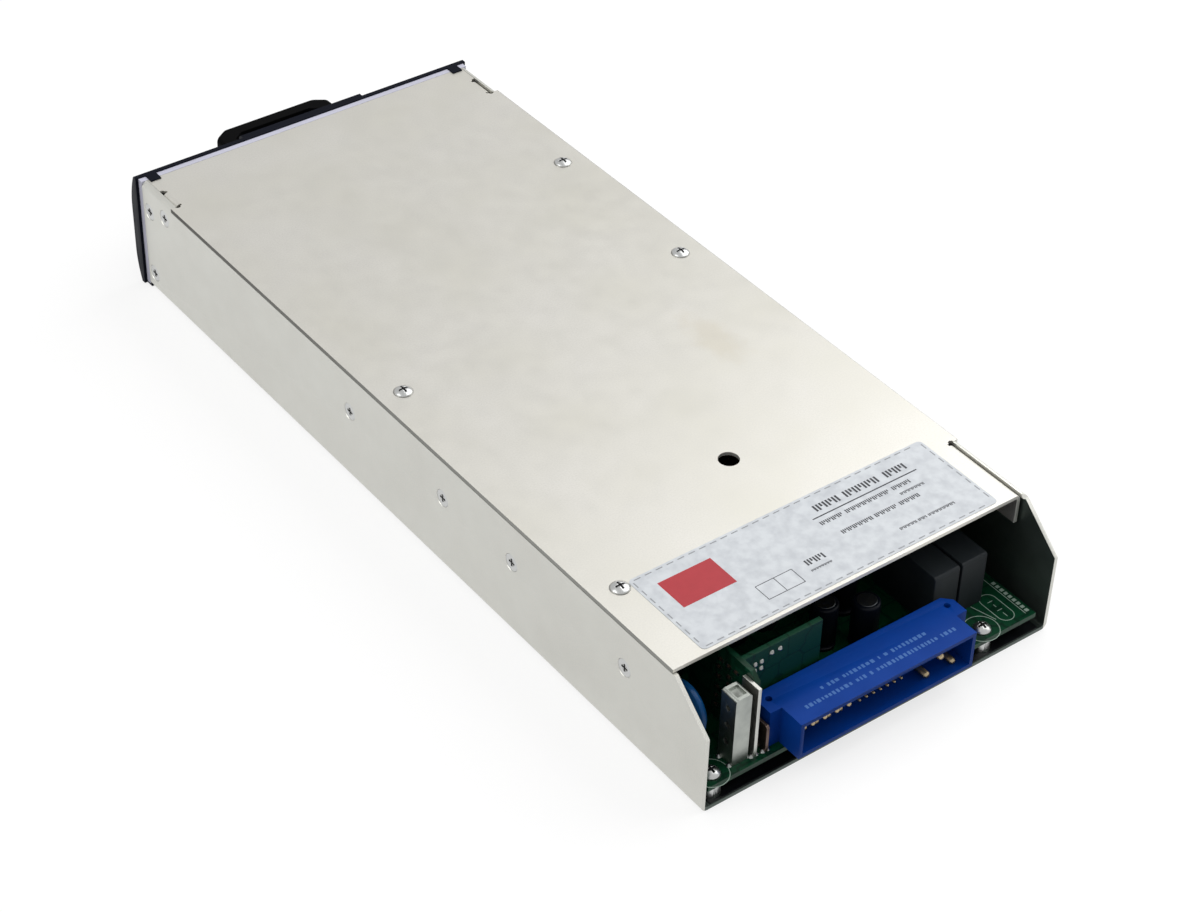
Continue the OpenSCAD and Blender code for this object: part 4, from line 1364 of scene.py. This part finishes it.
@dataclass
class PowerParts(SubAssembly):
    """Heat sinks, wound parts, capacitors and the rest of the board's parts."""

    coats: Coats = (
        ("left_heatsink", Look.ALUMINIUM, 0.0),
        ("right_heatsink", Look.ALUMINIUM, 0.0),
        ("left_transistors", Look.DEVICE, 0.0),
        ("right_transistors", Look.DEVICE, 0.0),
        ("bridge_rectifier", Look.DEVICE, 0.0),
        ("boost_choke_core", Look.FERRITE, 0.0),
        ("boost_choke_winding", Look.COPPER, 0.4),
        ("bulk_capacitors", Look.SLEEVE, 0.0),
        ("transformer_core", Look.FERRITE, 0.0),
        ("transformer_winding", Look.TAPE, 0.0),
        ("output_choke_core", Look.FERRITE, 0.0),
        ("output_choke_winding", Look.COPPER, 0.4),
        ("output_capacitors", Look.SLEEVE, 0.0),
        ("filter_choke_cores", Look.FERRITE, 0.0),
        ("filter_choke_windings", Look.COPPER, 0.3),
        ("film_capacitors", Look.BOX_FILM, 0.3),
        ("relays", Look.RELAY, 0.25),
        ("disc_varistor", Look.VARISTOR, 0.4),
        ("fuses", Look.CERAMIC, 0.2),
        ("fuse_clips", Look.TINNED, 0.0),
        ("small_capacitors", Look.SLEEVE, 0.0),
        ("trimmer_body", Look.TRIMMER, 0.2),
        ("trimmer_screw", Look.GOLD, 0.0),
    )
    lid_radii: Pair = (2.9, 2.8)
    lid_height: float = 0.08
    score_turn: float = 0.4
    score_reach: float = 2.3
    score_width: float = 0.25
    score_rise: Pair = (0.05, 0.12)

    def build(self) -> list[Piece]:
        """Dress the parts and close the cans with bare tops darkened by painted shade."""
        return [*super().build(), self._can_tops()]

    def _can_tops(self) -> Piece:
        """Make the bare top of each small can, darkened by painted shade, scored with a cross.

        Returns:
            The new piece.
        """
        bm = bmesh.new()
        _, high = self.packed.box("small_capacitors")
        z = (high.z + self.score_rise[0], high.z + self.score_rise[1])
        for place in map(middle, self.packed.loose_boxes("small_capacitors")):
            disc(bm, (place.x, place.y, high.z), self.lid_radii, self.lid_height)
            for turn in (self.score_turn, self.score_turn + math.pi / 2):
                reach = Vector((math.cos(turn), math.sin(turn))) * self.score_reach
                centre = Vector((place.x, place.y))
                bar(bm, centre - reach, centre + reach, self.score_width, z)
        return made_piece("can_tops", bm, Look.CAN_TOP, "sink_aluminium")


# ------------------------------------------------------------------ studio


def white_rays(tree: Tree) -> tuple[Socket, Node]:
    """Find the rays that should meet a white surrounding.

    Args:
        tree: the floor's or the world's node tree.

    Returns:
        1 for rays from the camera, and 1 for those or for reflected ones.
    """
    rays = add_node(tree, "LightPath").outputs
    camera = rays["Is Camera Ray"]
    either = {0: camera, 1: rays["Is Glossy Ray"]}
    return camera, add_node(tree, "Math", either, operation="MAXIMUM")


@dataclass(frozen=True)
class Lamp:
    """A square soft lamp that looks at the middle of the module, in metres and watts."""

    name: str
    place: Triple
    size: float
    power: float

    def build(self) -> None:
        """Hang the lamp."""
        light = bpy.data.lights.new(self.name, "AREA")
        light.size = self.size
        light.energy = self.power
        lamp = bpy.data.objects.new(self.name, light)
        lamp.location = self.place
        lamp.rotation_euler = (-Vector(self.place)).to_track_quat("-Z", "Y").to_euler()
        bpy.context.scene.collection.objects.link(lamp)


@dataclass(frozen=True)
class Studio:
    """Pale floor, soft lamps, a dim sky and the camera, whose place is in millimetres."""

    eye: Triple = (398.7, 528.6, 531.8)
    azimuth: float = 141.944
    elevation: float = 39.096
    roll: float = 1.983
    lens: float = 83.31
    sensor: float = 36.0
    clip: Pair = (0.02, 20.0)
    lamps: tuple[Lamp, ...] = (
        Lamp("key", (1.5, -0.2, 1.3), 1.2, 12.0),
        Lamp("top", (-0.62, 0.08, 0.62), 1.0, 6.0),
    )
    floor_size: float = 6.0
    floor_drop: float = 0.0003
    floor_grey: str = "#8e8e8e"
    floor_glow: float = 0.74
    sky_ambient: float = 0.08
    sky_above: float = 0.6
    sky_beside: float = 0.35
    white_reflected: float = 0.75
    white_seen: float = 1.0

    def build(self) -> None:
        """Set up floor, world, lamps and camera."""
        bpy.context.scene.view_settings.view_transform = "Standard"
        self._floor()
        self._world()
        for lamp in self.lamps:
            lamp.build()
        self._camera()

    def _floor(self) -> None:
        """Lay a plain pale floor that reads as white to the camera and keeps a soft shadow."""
        bm = bmesh.new()
        bmesh.ops.create_grid(bm, x_segments=1, y_segments=1, size=self.floor_size / 2)
        mesh = bpy.data.meshes.new("floor")
        bm.to_mesh(mesh)
        bm.free()
        mesh.transform(Matrix.Translation((0, 0, -self.floor_drop)))
        floor = bpy.data.objects.new("floor", mesh)
        bpy.context.scene.collection.objects.link(floor)
        material = bpy.data.materials.new("pale_floor")
        material.use_nodes = True
        tree = material.node_tree
        tree.nodes.clear()
        _, white = white_rays(tree)
        glow = add_node(tree, "Math", {0: white, 1: self.floor_glow}, operation="MULTIPLY")
        paint = add_node(tree, "BsdfDiffuse", {"Color": linear(self.floor_grey)})
        light = add_node(tree, "Emission", {"Color": linear(WHITE), "Strength": glow})
        both = add_node(tree, "AddShader", {0: paint, 1: light})
        add_node(tree, "OutputMaterial", {"Surface": both})
        mesh.materials.append(material)

    def _world(self) -> None:
        """Light from above and from +X, dim behind the connector, white where it is seen."""
        world = bpy.data.worlds.new("studio")
        world.use_nodes = True
        tree = world.node_tree
        tree.nodes.clear()
        camera, white = white_rays(tree)
        way = add_node(tree, "TexCoord").outputs["Generated"]
        split = add_node(tree, "SeparateXYZ", {0: way}).outputs
        glow: Any = self.sky_ambient
        for axis, strength in ((2, self.sky_above), (0, self.sky_beside)):
            share = add_node(tree, "Math", {0: split[axis], 1: 0.0}, operation="MAXIMUM")
            sums = {0: share, 1: strength, 2: glow}
            glow = add_node(tree, "Math", sums, operation="MULTIPLY_ADD")
        swing = self.white_seen - self.white_reflected
        sums = {0: camera, 1: swing, 2: self.white_reflected}
        level = add_node(tree, "Math", sums, operation="MULTIPLY_ADD")
        lit, seen = (
            add_node(tree, "Background", {"Color": linear(WHITE), "Strength": strength})
            for strength in (glow, level)
        )
        both = add_node(tree, "MixShader", {0: white, 1: lit, 2: seen})
        add_node(tree, "OutputWorld", {"Surface": both})
        bpy.context.scene.world = world

    def _camera(self) -> None:
        """Set up the camera."""
        data = bpy.data.cameras.new("camera")
        data.lens = self.lens
        data.sensor_width = self.sensor
        data.clip_start, data.clip_end = self.clip
        camera = bpy.data.objects.new("camera", data)
        a, e = math.radians(self.azimuth), math.radians(self.elevation)
        back = Vector((math.sin(a) * math.cos(e), -math.cos(a) * math.cos(e), math.sin(e)))
        level = (-back).to_track_quat("-Z", "Y").to_matrix().to_4x4()
        tilt = Matrix.Rotation(math.radians(self.roll), 4, "Z")
        camera.matrix_world = Matrix.Translation(Vector(self.eye) * MM) @ level @ tilt
        bpy.context.scene.collection.objects.link(camera)
        bpy.context.scene.camera = camera


def main() -> None:
    """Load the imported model, dress it part by part and set up the studio."""
    logging.basicConfig(level=logging.INFO, format="%(message)s")
    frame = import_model()
    packed = Packed.read(frame)
    Studio().build()
    parts = (
        SheetMetal,
        Front,
        Cooling,
        Fasteners,
        RatingLabel,
        BlindMate,
        Board,
        Risers,
        PowerParts,
    )
    for part in parts:
        for piece in part(packed).build():
            LOG.info("%s: %s, %d faces", part.__name__, piece.name, len(piece.data.polygons))


if __name__ == "__main__":
    main()
